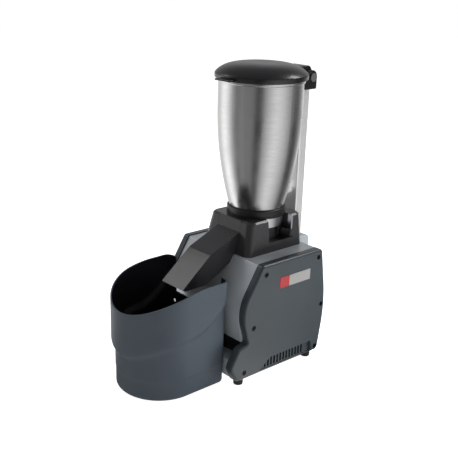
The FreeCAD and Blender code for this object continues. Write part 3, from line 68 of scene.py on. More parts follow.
class FinishSettings(bpy.types.PropertyGroup):
    """Colours and gloss of the crusher's finishes."""
    cast_colour: FloatVectorProperty(
        name="Cast body", description="Satin paint of the cast body", subtype="COLOR",
        default=(0.46, 0.49, 0.52), min=0, max=1)
    slate_colour: FloatVectorProperty(
        name="Side covers", description="Slate plastic of the side covers", subtype="COLOR",
        default=(0.031, 0.039, 0.045), min=0, max=1)
    housing_colour: FloatVectorProperty(
        name="Housing and chute", description="Charcoal plastic of the housing and chute", subtype="COLOR",
        default=(0.028, 0.028, 0.030), min=0, max=1)
    bucket_colour: FloatVectorProperty(
        name="Bucket outside", description="Matte slate blue of the bucket", subtype="COLOR",
        default=(0.056, 0.072, 0.090), min=0, max=1)
    black_colour: FloatVectorProperty(
        name="Black plastic", description="Lid, collar and small black pieces", subtype="COLOR",
        default=(0.008, 0.008, 0.009), min=0, max=1)
    label_colour: FloatVectorProperty(
        name="Label patch", description="Plain red of the label patch", subtype="COLOR",
        default=(0.30, 0.012, 0.014), min=0, max=1)
    steel_colour: FloatVectorProperty(
        name="Bowl steel", description="Brushed steel of the bowl", subtype="COLOR",
        default=(0.64, 0.64, 0.635), min=0, max=1)
    steel_roughness: FloatProperty(
        name="Bowl roughness", description="How dull the brushed bowl is", default=0.24, min=0, max=1)


class ShapeSettings(bpy.types.PropertyGroup):
    """Sizes of the shells that are shaped here."""
    spin_steps: IntProperty(
        name="Spin steps", description="Segments of a turned piece", default=128, min=16, max=512)
    bucket_wall: FloatProperty(
        name="Bucket wall", description="Thickness of the bucket's wall", subtype="DISTANCE",
        unit="LENGTH", default=0.0025, min=0.001, max=0.01)


class StudioSettings(bpy.types.PropertyGroup):
    """Camera, lights and floor."""
    camera_place: FloatVectorProperty(
        name="Camera place", description="Where the camera stands", subtype="TRANSLATION", unit="LENGTH",
        default=(1.0193, -0.8979, 0.7246))
    camera_turn: FloatProperty(
        name="Camera azimuth", description="Turn about the upright axis", subtype="ANGLE", unit="ROTATION",
        default=math.radians(48.26))
    camera_tilt: FloatProperty(
        name="Camera elevation", description="Height angle above the table", subtype="ANGLE", unit="ROTATION",
        default=math.radians(18.93))
    camera_roll: FloatProperty(
        name="Camera roll", description="Turn about the line of sight", subtype="ANGLE", unit="ROTATION",
        default=math.radians(1.67))
    camera_lens: FloatProperty(name="Lens", description="Focal length in millimetres", default=61.52, min=10)
    panel_strength: FloatProperty(name="Panels", description="Brightness of the panels", default=0.7, min=0)
    floor_glow: FloatProperty(name="Floor glow", description="Light of the floor itself", default=0.55, min=0)
    floor_streaks: FloatProperty(
        name="Floor streaks", description="Brightness of the floor in polished metal", default=1.45, min=0)
    shift_x: FloatProperty(name="Shift across", description="Sideways shift of the view", default=0.01345)
    shift_y: FloatProperty(name="Shift up", description="Upright shift of the view", default=0.00762)


# ---------------------------------------------------------------- helpers

def settings(group):
    """The scene's settings for finish, shape or studio."""
    return getattr(bpy.context.scene, "crusher_" + group)


def clear_selection():
    """Leave object mode with nothing selected."""
    if bpy.context.object and bpy.context.object.mode != "OBJECT":
        bpy.ops.object.mode_set(mode="OBJECT")
    bpy.ops.object.select_all(action="DESELECT")


def take(piece):
    """Make one object the only selected and active one."""
    clear_selection()
    piece.select_set(True)
    bpy.context.view_layer.objects.active = piece
    return piece


def made_object(name):
    """Name the object that an operator has just added."""
    piece = bpy.context.object
    piece.name = name
    return piece


def apply_modifier(piece, kind, **values):
    """Add a modifier, set it up and apply it."""
    take(piece)
    modifier = piece.modifiers.new(kind.lower(), kind)
    for name, value in values.items():
        setattr(modifier, name, value)
    bpy.ops.object.modifier_apply(modifier=modifier.name)
    return piece


def seat(piece):
    """Put the object's origin at the frame's, with its place in its mesh."""
    take(piece)
    bpy.ops.object.transform_apply(location=True, rotation=True, scale=True)
    return piece


def finish_piece(piece, body, slot, material, *replaced):
    """Give a new piece its material, its body and the CAD nodes it stands for."""
    piece.data.materials.clear()
    piece.data.materials.append(material)
    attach(piece, body)
    if replaced:
        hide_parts(*replaced)
    return piece


def merged_copy(node, name):
    """A copy of a CAD node with its loose triangles joined into clean faces."""
    mesh = frame["nodes"][node].data.copy()
    mesh.name = name
    piece = bpy.data.objects.new(name, mesh)
    bpy.context.scene.collection.objects.link(piece)
    take(piece)
    if mesh.has_custom_normals:
        bpy.ops.mesh.customdata_custom_splitnormals_clear()
    bpy.ops.object.mode_set(mode="EDIT")
    bpy.ops.mesh.select_all(action="SELECT")
    bpy.ops.mesh.remove_doubles(threshold=CAD_MERGE)
    bpy.ops.mesh.dissolve_limited(angle_limit=FLAT)
    bpy.ops.object.mode_set(mode="OBJECT")
    return piece


def round_edges(piece, radius, sharp=30, segments=3):
    """Soften the edges of a moulded or machined piece."""
    apply_modifier(piece, "BEVEL", width=radius, segments=segments, limit_method="ANGLE",
                   angle_limit=math.radians(sharp), use_clamp_overlap=True, harden_normals=False)
    take(piece)
    bpy.ops.object.shade_smooth_by_angle(angle=SMOOTH)
    apply_modifier(piece, "WEIGHTED_NORMAL", mode="FACE_AREA", weight=80, keep_sharp=True)
    return piece


# ---------------------------------------------------------------- materials

NOISE_LOW, NOISE_HIGH = 0.3, 0.7      # the part of a noise's range that is used


def node_of(holder, kind):
    """Add a shader node to a material or a world."""
    return holder.node_tree.nodes.new(kind)


def link(holder, source, output, target, entry):
    """Join one node's output to another node's entry."""
    holder.node_tree.links.new(source.outputs[output], target.inputs[entry])


def blank_material(name):
    """A new material and its main shader."""
    material = bpy.data.materials.new(name)
    material.use_nodes = True
    shader = material.node_tree.nodes["Principled BSDF"]
    return material, shader


def mapped_noise(material, stretch, scale, detail=4.0):
    """Noise in object space, stretched along the three axes."""
    place = node_of(material, "ShaderNodeTexCoord")
    mapping = node_of(material, "ShaderNodeMapping")
    mapping.inputs["Scale"].default_value = stretch
    noise = node_of(material, "ShaderNodeTexNoise")
    noise.inputs["Scale"].default_value = scale
    noise.inputs["Detail"].default_value = detail
    link(material, place, "Object", mapping, "Vector")
    link(material, mapping, "Vector", noise, "Vector")
    return noise


def vary(material, noise, shader, entry, low, high):
    """Move one of the shader's entries between two values by a noise."""
    spread = node_of(material, "ShaderNodeMapRange")
    spread.inputs["From Min"].default_value = NOISE_LOW
    spread.inputs["From Max"].default_value = NOISE_HIGH
    spread.inputs["To Min"].default_value = low
    spread.inputs["To Max"].default_value = high
    link(material, noise, "Fac", spread, "Value")
    link(material, spread, "Result", shader, entry)


def tint(material, noise, shader, dark, light):
    """Move the base colour between two close tints by a noise."""
    ramp = node_of(material, "ShaderNodeValToRGB")
    first, last = ramp.color_ramp.elements
    first.position, last.position = NOISE_LOW, NOISE_HIGH
    first.color = (*dark, 1)
    last.color = (*light, 1)
    link(material, noise, "Fac", ramp, "Fac")
    link(material, ramp, "Color", shader, "Base Color")


def relief(material, noise, shader, strength, distance):
    """A fine bump from a noise."""
    bump = node_of(material, "ShaderNodeBump")
    bump.inputs["Strength"].default_value = strength
    bump.inputs["Distance"].default_value = distance
    link(material, noise, "Fac", bump, "Height")
    link(material, bump, "Normal", shader, "Normal")


def shade(colour, factor):
    """A lighter or darker tint of a colour."""
    return tuple(min(1.0, channel * factor) for channel in colour)


def plastic(name, colour, rough, grain, depth, coat=0.0, spread=0.03, change=0.05, metallic=0.0):
    """Moulded or painted plastic: fine grain, slight blotches in colour and gloss."""
    material, shader = blank_material(name)
    blotch = mapped_noise(material, (1, 1, 1), 22.0, 3.0)
    fine = mapped_noise(material, (1, 1, 1), grain, 2.0)
    tint(material, blotch, shader, shade(colour, 1 - change), shade(colour, 1 + change))
    vary(material, blotch, shader, "Roughness", rough - spread, rough + spread)
    relief(material, fine, shader, depth, 0.0002)
    shader.inputs["Metallic"].default_value = metallic
    shader.inputs["Coat Weight"].default_value = coat
    shader.inputs["Coat Roughness"].default_value = 0.12
    return material


def metal(name, colour, rough, stretch=(1, 1, 1), grain=900.0, depth=0.15, spread=0.05, along=0.0,
          bare=1.0):
    """Bare metal with its grain stretched the way it was worked."""
    material, shader = blank_material(name)
    shader.inputs["Metallic"].default_value = bare
    shader.inputs["Anisotropic"].default_value = along
    grain_noise = mapped_noise(material, stretch, grain, 3.0)
    cloud = mapped_noise(material, (1, 1, 1), 14.0, 3.0)
    tint(material, grain_noise, shader, shade(colour, 0.9), shade(colour, 1.06))
    vary(material, cloud, shader, "Roughness", rough - spread, rough + spread)
    relief(material, grain_noise, shader, depth, 0.00005)
    return material


MATERIALS = {}


def build_materials():
    """Every finish of the crusher, by the record's slot names."""
    look = settings("finish")
    black = tuple(look.black_colour)
    MATERIALS.update({
        "cast_paint": plastic("cast_paint", tuple(look.cast_colour), 0.34, 1400, 0.12, coat=0.2,
                              metallic=0.4),
        "slate_cover": plastic("slate_cover", tuple(look.slate_colour), 0.32, 1600, 0.10, coat=0.3),
        "housing_dark": plastic("housing_dark", tuple(look.housing_colour), 0.33, 1500, 0.12, coat=0.3),
        "black_plastic": plastic("black_plastic", black, 0.42, 1500, 0.15),
        "lid_black": plastic("lid_black", black, 0.34, 1200, 0.06, coat=0.25),
        "bowl_steel": metal("bowl_steel", tuple(look.steel_colour), look.steel_roughness, (1, 1, 60),
                            40.0, 0.2, along=0.6),
        "column_steel": metal("column_steel", (0.84, 0.84, 0.84), 0.16, (60, 60, 1), 30.0, 0.05,
                              bare=0.55),
        "steel": metal("steel", (0.55, 0.55, 0.55), 0.28),
        "dark_steel": metal("dark_steel", (0.05, 0.05, 0.055), 0.4),
        "ring_silver": metal("ring_silver", (0.72, 0.73, 0.75), 0.3),
        "bucket_slate": plastic("bucket_slate", tuple(look.bucket_colour), 0.55, 1300, 0.3),
        "bucket_inside": plastic("bucket_inside", (0.006, 0.006, 0.008), 0.4, 1300, 0.2),
        "rubber": plastic("rubber", (0.012, 0.012, 0.012), 0.75, 700, 0.5),
        "gasket": plastic("gasket", (0.04, 0.04, 0.04), 0.7, 700, 0.4),
        "stack_iron": metal("stack_iron", (0.2, 0.2, 0.21), 0.45, (1, 1, 40), 60.0, 0.4),
        "copper": metal("copper", (0.5, 0.2, 0.08), 0.35, (1, 1, 30), 60.0, 0.5),
        "bell_alloy": metal("bell_alloy", (0.5, 0.5, 0.52), 0.45, grain=500.0, depth=0.4),
        "label_red": plastic("label_red", tuple(look.label_colour), 0.3, 1200, 0.05, coat=0.3),
        "label_silver": metal("label_silver", (0.27, 0.265, 0.26), 0.4, (1, 40, 1), 60.0, 0.1, bare=0.3),
        "terminal_cream": plastic("terminal_cream", (0.55, 0.5, 0.38), 0.5, 1200, 0.1),
        "capacitor_grey": plastic("capacitor_grey", (0.35, 0.36, 0.38), 0.4, 1200, 0.1),
        # the record names this slot so, and its finish is black
        "rocker_red": plastic("rocker_red", black, 0.3, 1200, 0.05, coat=0.3),
    })


# ---------------------------------------------------------------- operators

class CRUSHER_OT_finishes(bpy.types.Operator):
    """Give every CAD node its material"""
    bl_idname = "crusher.finishes"
    bl_label = "Finishes"

    def execute(self, context):
        build_materials()
        for part in frame["record"]["subparts"]:
            mesh = frame["nodes"][part["node"]].data
            mesh.materials.clear()
            mesh.materials.append(MATERIALS[part["material_slot"]])
        return {"FINISHED"}


# CAD nodes whose edges are rounded: body, slot and radius in millimetres
EDGED = {
    "crusher_housing": ("base", "housing_dark", 1.3),
    "chute": ("chute_body", "housing_dark", 0.9),
    "hinge_bracket": ("base", "black_plastic", 0.8),
    "size_ring": ("size_selector", "ring_silver", 0.3),
    "size_lever": ("size_selector", "black_plastic", 0.5),
    "lid_column": ("base", "column_steel", 0.3),
    "bowl_seat_ring": ("base", "black_plastic", 0.5),
    "bowl_collar": ("bowl", "black_plastic", 0.5),
    "recess_panel": ("base", "black_plastic", 0.4),
    "side_cover_right": ("base", "slate_cover", 0.9),
    "side_cover_left": ("base", "slate_cover", 0.9),
    "body_casting": ("base", "cast_paint", 1.0),
}


SEAMS = [(-30.4, -29.6), (29.6, 30.4)]      # from side to side, in millimetres
SEAM_BLADE = 0.030                          # the blade's depth and height
SEAM_AHEAD = 0.075                          # in front of the bowl's axis
SEAM_HEIGHT = 0.276


def cut_seams(piece):
    """Saw the two fine seams beside the chute into the housing's front."""
    for low, high in SEAMS:
        clear_selection()
        bpy.ops.mesh.primitive_cube_add(size=1)
        blade = made_object("seam_blade")
        blade.scale = ((high - low) * MM, SEAM_BLADE, SEAM_BLADE)
        blade.location = ((low + high) / 2 * MM, AXIS_Y - SEAM_AHEAD, SEAM_HEIGHT)
        seat(blade)
        apply_modifier(piece, "BOOLEAN", object=blade, operation="DIFFERENCE", solver="EXACT")
        bpy.data.objects.remove(blade)


STRIP_WIDTH, STRIP_DEPTH = 0.0105, 0.0046
STRIP_INSET, STRIP_BACK = 0.0052, 0.0021
STRIP_CLEAR = 0.0005
STRIP_EDGE = 0.0012


class CRUSHER_OT_trim(bpy.types.Operator):
    """Shape the bright strip down the rear side of the lever window"""
    bl_idname = "crusher.trim"
    bl_label = "Window strip"

    def execute(self, context):
        low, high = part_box("window_trim")
        clear_selection()
        bpy.ops.mesh.primitive_cube_add(size=1)
        piece = made_object("window_strip")
        piece.scale = (STRIP_WIDTH, STRIP_DEPTH, high.z - low.z - STRIP_CLEAR)
        piece.location = (high.x - STRIP_INSET, low.y + STRIP_BACK, (high.z + low.z) / 2)
        seat(piece)
        bpy.ops.object.mode_set(mode="EDIT")
        bpy.ops.mesh.select_all(action="SELECT")
        bpy.ops.mesh.subdivide(number_cuts=2)
        bpy.ops.object.mode_set(mode="OBJECT")
        round_edges(piece, STRIP_EDGE, sharp=50)
        finish_piece(piece, "base", "ring_silver", MATERIALS["ring_silver"], "window_trim")
        return {"FINISHED"}


class CRUSHER_OT_edges(bpy.types.Operator):
    """Round the edges of the moulded, cast and machined pieces that show"""
    bl_idname = "crusher.edges"
    bl_label = "Rounded edges"

    def execute(self, context):
        for node, (body, slot, radius) in EDGED.items():
            piece = merged_copy(node, node + "_rounded")
            if node == "crusher_housing":
                cut_seams(piece)
            round_edges(piece, radius * MM)
            finish_piece(piece, body, slot, MATERIALS[slot], node)
        return {"FINISHED"}


# name, place, size, power, and whether it shows in reflections
LAMPS = [
    ("side", (0.42, 0.30, 0.03), 0.26, 3.0, False),
    ("front", (1.3, -1.3, 0.6), 0.9, 5, False),
    ("high_left", (-1.3, -0.75, 1.35), 0.5, 2.2, True),
    ("high_right", (0.62, 1.25, 1.6), 0.6, 9, True),
    ("rear", (-0.5, 0.3, 2.0), 1.0, 16, False),
]
# brightness of the soft panels round the studio, by degrees from the camera's side
PANELS = [(-180, 0.75), (-140, 0.5), (-122, 1.0), (-108, 1.1), (-95, 0.7), (-80, 0.26),
          (-67, 0.10), (-53, 0.22), (-40, 0.16), (-20, 0.18), (-10, 0.03), (4, 0.04),
          (14, 0.36), (26, 0.5), (40, 0.72), (54, 0.66), (72, 0.45), (84, 0.34),
          (93, 0.08), (106, 0.02), (120, 0.10), (134, 0.35), (157, 0.8), (180, 0.75)]
CEILING_START, CEILING_FULL = 0.25, 0.7      # how far up the panels fade into the ceiling
CEILING_GREY = (0.32, 0.32, 0.33, 1)
FLOOR_SEEN = 0.35                            # the floor's extra glow where the camera sees it


def math_node(holder, operation, source, output, *values):
    """A maths node fed by another node, with its other entries set to values."""
    node = node_of(holder, "ShaderNodeMath")
    node.operation = operation
    for number, value in enumerate(values, 1):
        node.inputs[number].default_value = value
    link(holder, source, output, node, 0)
    return node


def turn_about(holder, source, output, look):
    """The panels' brightness by the angle round the studio, and the split position."""
    split = node_of(holder, "ShaderNodeSeparateXYZ")
    link(holder, source, output, split, "Vector")
    flip = math_node(holder, "MULTIPLY", split, "Y", -1.0)
    angle = math_node(holder, "ARCTAN2", split, "X")
    link(holder, flip, "Value", angle, 1)
    turned = math_node(holder, "ADD", angle, "Value", math.pi - look.camera_turn)
    wrap = math_node(holder, "WRAP", turned, "Value", math.tau, 0.0)
    share = math_node(holder, "DIVIDE", wrap, "Value", math.tau)
    ramp = node_of(holder, "ShaderNodeValToRGB")
    strip = ramp.color_ramp.elements
    strip[0].color = strip[1].color = (PANELS[0][1],) * 3 + (1,)
    for degrees, light in PANELS[1:-1]:
        strip.new((degrees + 180) / 360).color = (light, light, light, 1)
    link(holder, share, "Value", ramp, "Fac")
    return ramp, split


def studio_world(look):
    """Soft bright and dark panels round the crusher under a grey ceiling, plain white to the camera."""
    world = bpy.data.worlds.new("studio_world")
    world.use_nodes = True
    panels = world.node_tree.nodes["Background"]
    panels.inputs["Strength"].default_value = look.panel_strength
    place = node_of(world, "ShaderNodeTexCoord")
    ramp, split = turn_about(world, place, "Generated", look)
    lift = node_of(world, "ShaderNodeMapRange")
    lift.inputs["From Min"].default_value = CEILING_START
    lift.inputs["From Max"].default_value = CEILING_FULL
    link(world, split, "Z", lift, "Value")
    mix = node_of(world, "ShaderNodeMix")
    mix.data_type = "RGBA"
    mix.inputs[7].default_value = CEILING_GREY
    link(world, lift, "Result", mix, 0)
    link(world, ramp, "Color", mix, 6)
    link(world, mix, 2, panels, "Color")
    plain = node_of(world, "ShaderNodeBackground")
    plain.inputs["Color"].default_value = (1, 1, 1, 1)
    path = node_of(world, "ShaderNodeLightPath")
    choose = node_of(world, "ShaderNodeMixShader")
    link(world, path, "Is Camera Ray", choose, 0)
    link(world, panels, "Background", choose, 1)
    link(world, plain, "Background", choose, 2)
    link(world, choose, "Shader", world.node_tree.nodes["World Output"], "Surface")
    return world


def floor_finish(look):
    """A white floor that shows the panels' soft streaks in polished metal."""
    material, shader = blank_material("studio_floor")
    shader.inputs["Base Color"].default_value = (0.8, 0.8, 0.8, 1)
    shader.inputs["Roughness"].default_value = 0.9
    shader.inputs["Specular IOR Level"].default_value = 0.0
    shader.inputs["Emission Color"].default_value = (1, 1, 1, 1)
    place = node_of(material, "ShaderNodeTexCoord")
    ramp, _ = turn_about(material, place, "Object", look)
    streaks = node_of(material, "ShaderNodeEmission")
    streaks.inputs["Strength"].default_value = look.floor_streaks
    link(material, ramp, "Color", streaks, "Color")
    path = node_of(material, "ShaderNodeLightPath")
    choose = node_of(material, "ShaderNodeMixShader")
    link(material, path, "Is Glossy Ray", choose, 0)
    link(material, shader, "BSDF", choose, 1)
    link(material, streaks, "Emission", choose, 2)
    link(material, choose, "Shader", material.node_tree.nodes["Material Output"], "Surface")
    seen = node_of(material, "ShaderNodeMapRange")
    seen.inputs["To Min"].default_value = look.floor_glow
    seen.inputs["To Max"].default_value = look.floor_glow + FLOOR_SEEN
    link(material, path, "Is Camera Ray", seen, "Value")
    link(material, seen, "Result", shader, "Emission Strength")
    material.cycles.emission_sampling = "NONE"
    return material


def arc_height(along, start, end, radius):
    """Height of an arc between two points; a negative radius bulges upwards."""
    middle = (start + end) / 2
    half = (end - start) / 2
    drop = math.sqrt(radius * radius - half.length_squared)
    side = Vector((half.y, -half.x)).normalized() * drop
    if radius < 0:
        centre = middle + side
        return centre.y + math.sqrt(max(0, radius * radius - (along - centre.x) ** 2))
    centre = middle - side
    return centre.y - math.sqrt(max(0, radius * radius - (along - centre.x) ** 2))


# The bucket's sizes in millimetres. Its places are distances from the bowl's axis, with the front negative.
BUCKET_CENTRE = -226.0
BUCKET_BACK = -138.3
BUCKET_CORNER = 12.0
LOWER_HALF = 80.5
EAR = 65.0
BACK_TOP = 132.0
BOTTOM_ROUND = 8.0
BASE_IN = 0.9                # how far the base stands inside the wall above it
BASE_STEP, BASE_SOFT = 34, 8
FLOOR_MIDDLE = -215
STEP_OUT = 7.0
STEP_SOFT = 8.0
STEP_FRONT, STEP_MIDDLE, STEP_REAR = Vector((-318.5, 66)), Vector((-206, 115)), Vector((-133.3, 183))
STEP_FRONT_CURVE, STEP_REAR_CURVE = -169.5, 124.7
RIM_FRONT, RIM_REAR = Vector((-318.5, 151)), Vector((-180, 202))
RIM_CURVE = -218

BACK_POINTS = [0, 12, 24, 36, 46, 54, 60, 64.6]
CORNER_STEPS, SIDE_STEPS, NOSE_STEPS = 8, 14, 96
FLOOR_SHARES = (0.0, 0.35, 0.7, 0.9)
ROUND_STEPS = 6
BASE_HEIGHTS = [16, 26, 33, 35, 37, 39, 41, 43, 50]
WALL_ROWS, STEP_ROWS, RIM_ROWS = 6, 10, 8
BUCKET_EDGE = 0.0008
HOOK_ACROSS, HOOK_HEIGHT, HOOK_RADIUS, HOOK_LENGTH = 0.068, 0.112, 0.004, 0.03


def step_height(along):
    """Where the slanting step crosses the wall."""
    if along < STEP_MIDDLE.x:
        return arc_height(max(along, STEP_FRONT.x), STEP_FRONT, STEP_MIDDLE, STEP_FRONT_CURVE)
    return arc_height(along, STEP_MIDDLE, STEP_REAR, STEP_REAR_CURVE)


def rim_height(along):
    """Where the sloping rim is."""
    if along < RIM_REAR.x:
        return arc_height(max(along, RIM_FRONT.x), RIM_FRONT, RIM_REAR, RIM_CURVE)
    return RIM_REAR.y


def corner_points(edge, start):
    """Points round one rear corner: a quarter turn that ends at the angle start."""
    points = []
    for number in range(CORNER_STEPS + 1):
        angle = start + math.pi / 2 * (1 - number / CORNER_STEPS)
        points.append((edge + BUCKET_CORNER * math.cos(angle),
                       BUCKET_BACK - BUCKET_CORNER + BUCKET_CORNER * math.sin(angle),
                       math.cos(angle), math.sin(angle), 0))
    return points


def bucket_plan():
    """Points round the bucket: place, outward direction and whether on the low back."""
    edge = LOWER_HALF - BUCKET_CORNER
    low_back = [(-x, 1) for x in reversed(BACK_POINTS[1:])] + [(x, 1) for x in BACK_POINTS]
    points = [(x, BUCKET_BACK, 0.0, 1.0, low)
              for x, low in [(-edge, 0), (-EAR, 0)] + low_back + [(EAR, 0), (edge, 0)]]
    points += corner_points(edge, 0)[1:]
    corner = BUCKET_BACK - BUCKET_CORNER
    sides = [corner + (BUCKET_CENTRE - BUCKET_BACK + BUCKET_CORNER) * number / SIDE_STEPS
             for number in range(1, SIDE_STEPS)]
    points += [(LOWER_HALF, y, 1.0, 0.0, 0) for y in sides]
    for number in range(NOSE_STEPS + 1):
        angle = -math.pi * number / NOSE_STEPS
        points.append((LOWER_HALF * math.cos(angle), BUCKET_CENTRE + LOWER_HALF * math.sin(angle),
                       math.cos(angle), math.sin(angle), 0))
    points += [(-LOWER_HALF, y, -1.0, 0.0, 0) for y in reversed(sides)]
    points += corner_points(-edge, math.pi / 2)[:-1]
    return points


def soft_step(value):
    """A smooth rise from 0 to 1."""
    value = min(1.0, max(0.0, value))
    return value * value * (3 - 2 * value)


def bucket_column(x, y, out_x, out_y, low):
    """One upright row of the bucket's wall, from the middle of its floor to its rim."""
    step = step_height(y)
    rim = BACK_TOP if low else rim_height(y)
    start = min(step - STEP_SOFT, rim)
    end = min(step + STEP_SOFT, rim)
    column = [(x * share, FLOOR_MIDDLE + (y - FLOOR_MIDDLE) * share, 0.0, -(BOTTOM_ROUND + BASE_IN) * share)
              for share in FLOOR_SHARES]
    for number in range(ROUND_STEPS + 1):
        angle = math.pi / 2 * number / ROUND_STEPS
        column.append((x, y, BOTTOM_ROUND * (1 - math.cos(angle)),
                       BOTTOM_ROUND * (math.sin(angle) - 1) - BASE_IN))
    heights = list(BASE_HEIGHTS)
    for low_end, high_end, count in ((BASE_HEIGHTS[-1], start, WALL_ROWS), (start, end, STEP_ROWS),
                                     (end, rim, RIM_ROWS)):
        heights += [low_end + (high_end - low_end) * number / count for number in range(1, count + 1)]
    for z in heights:
        base = -BASE_IN * (1 - soft_step((z - BASE_STEP) / BASE_SOFT))
        sideways = STEP_OUT * soft_step((z - step + STEP_SOFT) / (2 * STEP_SOFT))
        column.append((x, y, z, base + sideways))
    # the wall widens to the sides and the front, and its back stays flat
    return [((px + out_x * out) * MM,
             (py + min(0.0, out_y) * max(out, 0) + out_y * min(out, 0)) * MM + AXIS_Y,
             pz * MM) for px, py, pz, out in column]


class CRUSHER_OT_bucket(bpy.types.Operator):
    """Shape the collecting bucket as one smooth moulded shell"""
    bl_idname = "crusher.bucket"
    bl_label = "Collecting bucket"

    def execute(self, context):
        wall = settings("shape").bucket_wall
        columns = [bucket_column(*point) for point in bucket_plan()]
        columns.append(columns[0])
        wide, rows = len(columns), len(columns[0])
        clear_selection()
        bpy.ops.mesh.primitive_grid_add(x_subdivisions=wide - 1, y_subdivisions=rows - 1, size=1)
        piece = made_object("bucket_shell")
        for number, vertex in enumerate(piece.data.vertices):
            vertex.co = columns[number % wide][number // wide]
        bpy.ops.object.mode_set(mode="EDIT")
        bpy.ops.mesh.select_all(action="SELECT")
        bpy.ops.mesh.remove_doubles(threshold=MERGE)
        bpy.ops.mesh.normals_make_consistent(inside=False)
        bpy.ops.object.mode_set(mode="OBJECT")
        piece.data.materials.append(MATERIALS["bucket_slate"])
        piece.data.materials.append(MATERIALS["bucket_inside"])
        apply_modifier(piece, "SOLIDIFY", thickness=wall, offset=-1.0, use_even_offset=True,
                       material_offset=1, material_offset_rim=0)
        for side in (-1, 1):
            clear_selection()
            bpy.ops.mesh.primitive_cylinder_add(
                vertices=40, radius=HOOK_RADIUS, depth=HOOK_LENGTH, rotation=(math.pi / 2, 0, 0),
                location=(side * HOOK_ACROSS, AXIS_Y + BUCKET_BACK * MM, HOOK_HEIGHT))
            pin = seat(made_object("hook_pin"))
            apply_modifier(piece, "BOOLEAN", object=pin, operation="DIFFERENCE", solver="EXACT")
            bpy.data.objects.remove(pin)
        apply_modifier(piece, "BEVEL", width=BUCKET_EDGE, segments=3, limit_method="ANGLE",
                       angle_limit=math.radians(50), use_clamp_overlap=True)
        take(piece)
        bpy.ops.object.shade_smooth_by_angle(angle=SMOOTH_SHELL)
        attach(piece, "bucket")
        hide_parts("collecting_bucket")
        return {"FINISHED"}


# the lid's sizes in millimetres
LID_RADIUS = 84.8
LID_EDGE = 541.5
LID_SKIRT = 534.0
LID_RISE = 20.4
LID_SHARES = (0.0, 0.1, 0.2, 0.3, 0.4, 0.5, 0.6, 0.68, 0.75, 0.81, 0.86, 0.9, 0.93, 0.955, 0.975, 0.988,
              0.996, 1.0)
LID_LIP = [(84.8, 540.2), (84.8, 535.2), (84.3, 534.2), (83.8, LID_SKIRT)]
LID_UNDER = [(81.8, LID_SKIRT), (81.8, 538.0), (74.0, 538.0), (74.0, 540.0), (60.0, 551.0), (40.0, 556.5),
             (0.0, 558.5)]


ARM_EDGE = 0.0012
ARM_HALF, ARM_START, ARM_BOTTOM, ARM_CLEAR = 19.2, 76.4, 541.4, 85.2
TAB_HALF, TAB_START, TAB_TOP = 20.2, -80.5, 537.3


def lid_height(share):
    """Height of the lid's crown over its edge: nearly flat, with a full shoulder."""
    return LID_RISE * (1 - share ** 4) ** 0.8


class CRUSHER_OT_lid(bpy.types.Operator):
    """Spin the lid's shell and keep its hinge arm and front tab"""
    bl_idname = "crusher.lid"
    bl_label = "Lid"

    def execute(self, context):
        steps = settings("shape").spin_steps
        top = [(LID_RADIUS * share, LID_EDGE + lid_height(share)) for share in LID_SHARES]
        piece = spun("lid_shell", top + LID_LIP + LID_UNDER, steps)
        finish_piece(piece, "lid_group", "lid_black", MATERIALS["lid_black"], "lid")
        arm = merged_copy("lid", "lid_arm")
        trim_outside(arm, keeps_arm)
        apply_modifier(arm, "BEVEL", width=ARM_EDGE, segments=3, limit_method="ANGLE",
                       angle_limit=math.radians(30), use_clamp_overlap=True)
        take(arm)
        bpy.ops.object.shade_smooth_by_angle(angle=SMOOTH)
        finish_piece(arm, "lid_group", "lid_black", MATERIALS["lid_black"])
        return {"FINISHED"}


def keeps_arm(point):
    """Whether a point belongs to the lid's rear arm or its front tab."""
    x, y, z = point.x / MM, (point.y - AXIS_Y) / MM, point.z / MM
    rear = abs(x) < ARM_HALF and y > ARM_START and (z > ARM_BOTTOM or math.hypot(x, y) > ARM_CLEAR)
    front = abs(x) < TAB_HALF and y < TAB_START and z < TAB_TOP
    return rear or front


def trim_outside(piece, keep):
    """Delete the vertices that aren't wanted."""
    take(piece)
    bpy.ops.object.mode_set(mode="EDIT")
    bpy.ops.mesh.select_all(action="DESELECT")
    bpy.ops.object.mode_set(mode="OBJECT")
    for vertex in piece.data.vertices:
        vertex.select = not keep(vertex.co)
    bpy.ops.object.mode_set(mode="EDIT")
    bpy.ops.mesh.select_mode(type="VERT")
    bpy.ops.mesh.delete(type="VERT")
    bpy.ops.object.mode_set(mode="OBJECT")


def spun(name, profile, steps):
    """Turn a profile of radius and height about the bowl's axis."""
    clear_selection()
    mesh = bpy.data.meshes.new(name)
    points = [(radius * MM, AXIS_Y, height * MM) for radius, height in profile]
    mesh.from_pydata(points, [(number, number + 1) for number in range(len(points) - 1)], [])
    piece = bpy.data.objects.new(name, mesh)
    bpy.context.scene.collection.objects.link(piece)
    take(piece)
    bpy.ops.object.mode_set(mode="EDIT")
    bpy.ops.mesh.select_all(action="SELECT")
    bpy.ops.mesh.spin(steps=steps, angle=math.tau, center=(0, AXIS_Y, 0), axis=(0, 0, 1))
    bpy.ops.mesh.select_all(action="SELECT")
    bpy.ops.mesh.remove_doubles(threshold=MERGE)
    bpy.ops.mesh.normals_make_consistent(inside=False)
    bpy.ops.object.mode_set(mode="OBJECT")
    bpy.ops.object.shade_smooth_by_angle(angle=SMOOTH_SHELL)
    return piece


FLOOR_SIZE = 14
FLOOR_HEIGHT = -0.0005
LAMPS_AIM = Vector((0, 0, 0.28))


def add_lamps():
    """Soft square lamps that all face the middle of the crusher."""
    for name, place, size, power, mirrored in LAMPS:
        bpy.ops.object.light_add(type="AREA", location=place)
        lamp = made_object(name + "_light")
        lamp.data.size = size
        lamp.data.energy = power
        lamp.visible_camera = False
        lamp.visible_glossy = mirrored
        lamp.rotation_euler = (LAMPS_AIM - Vector(place)).to_track_quat("-Z", "Y").to_euler()


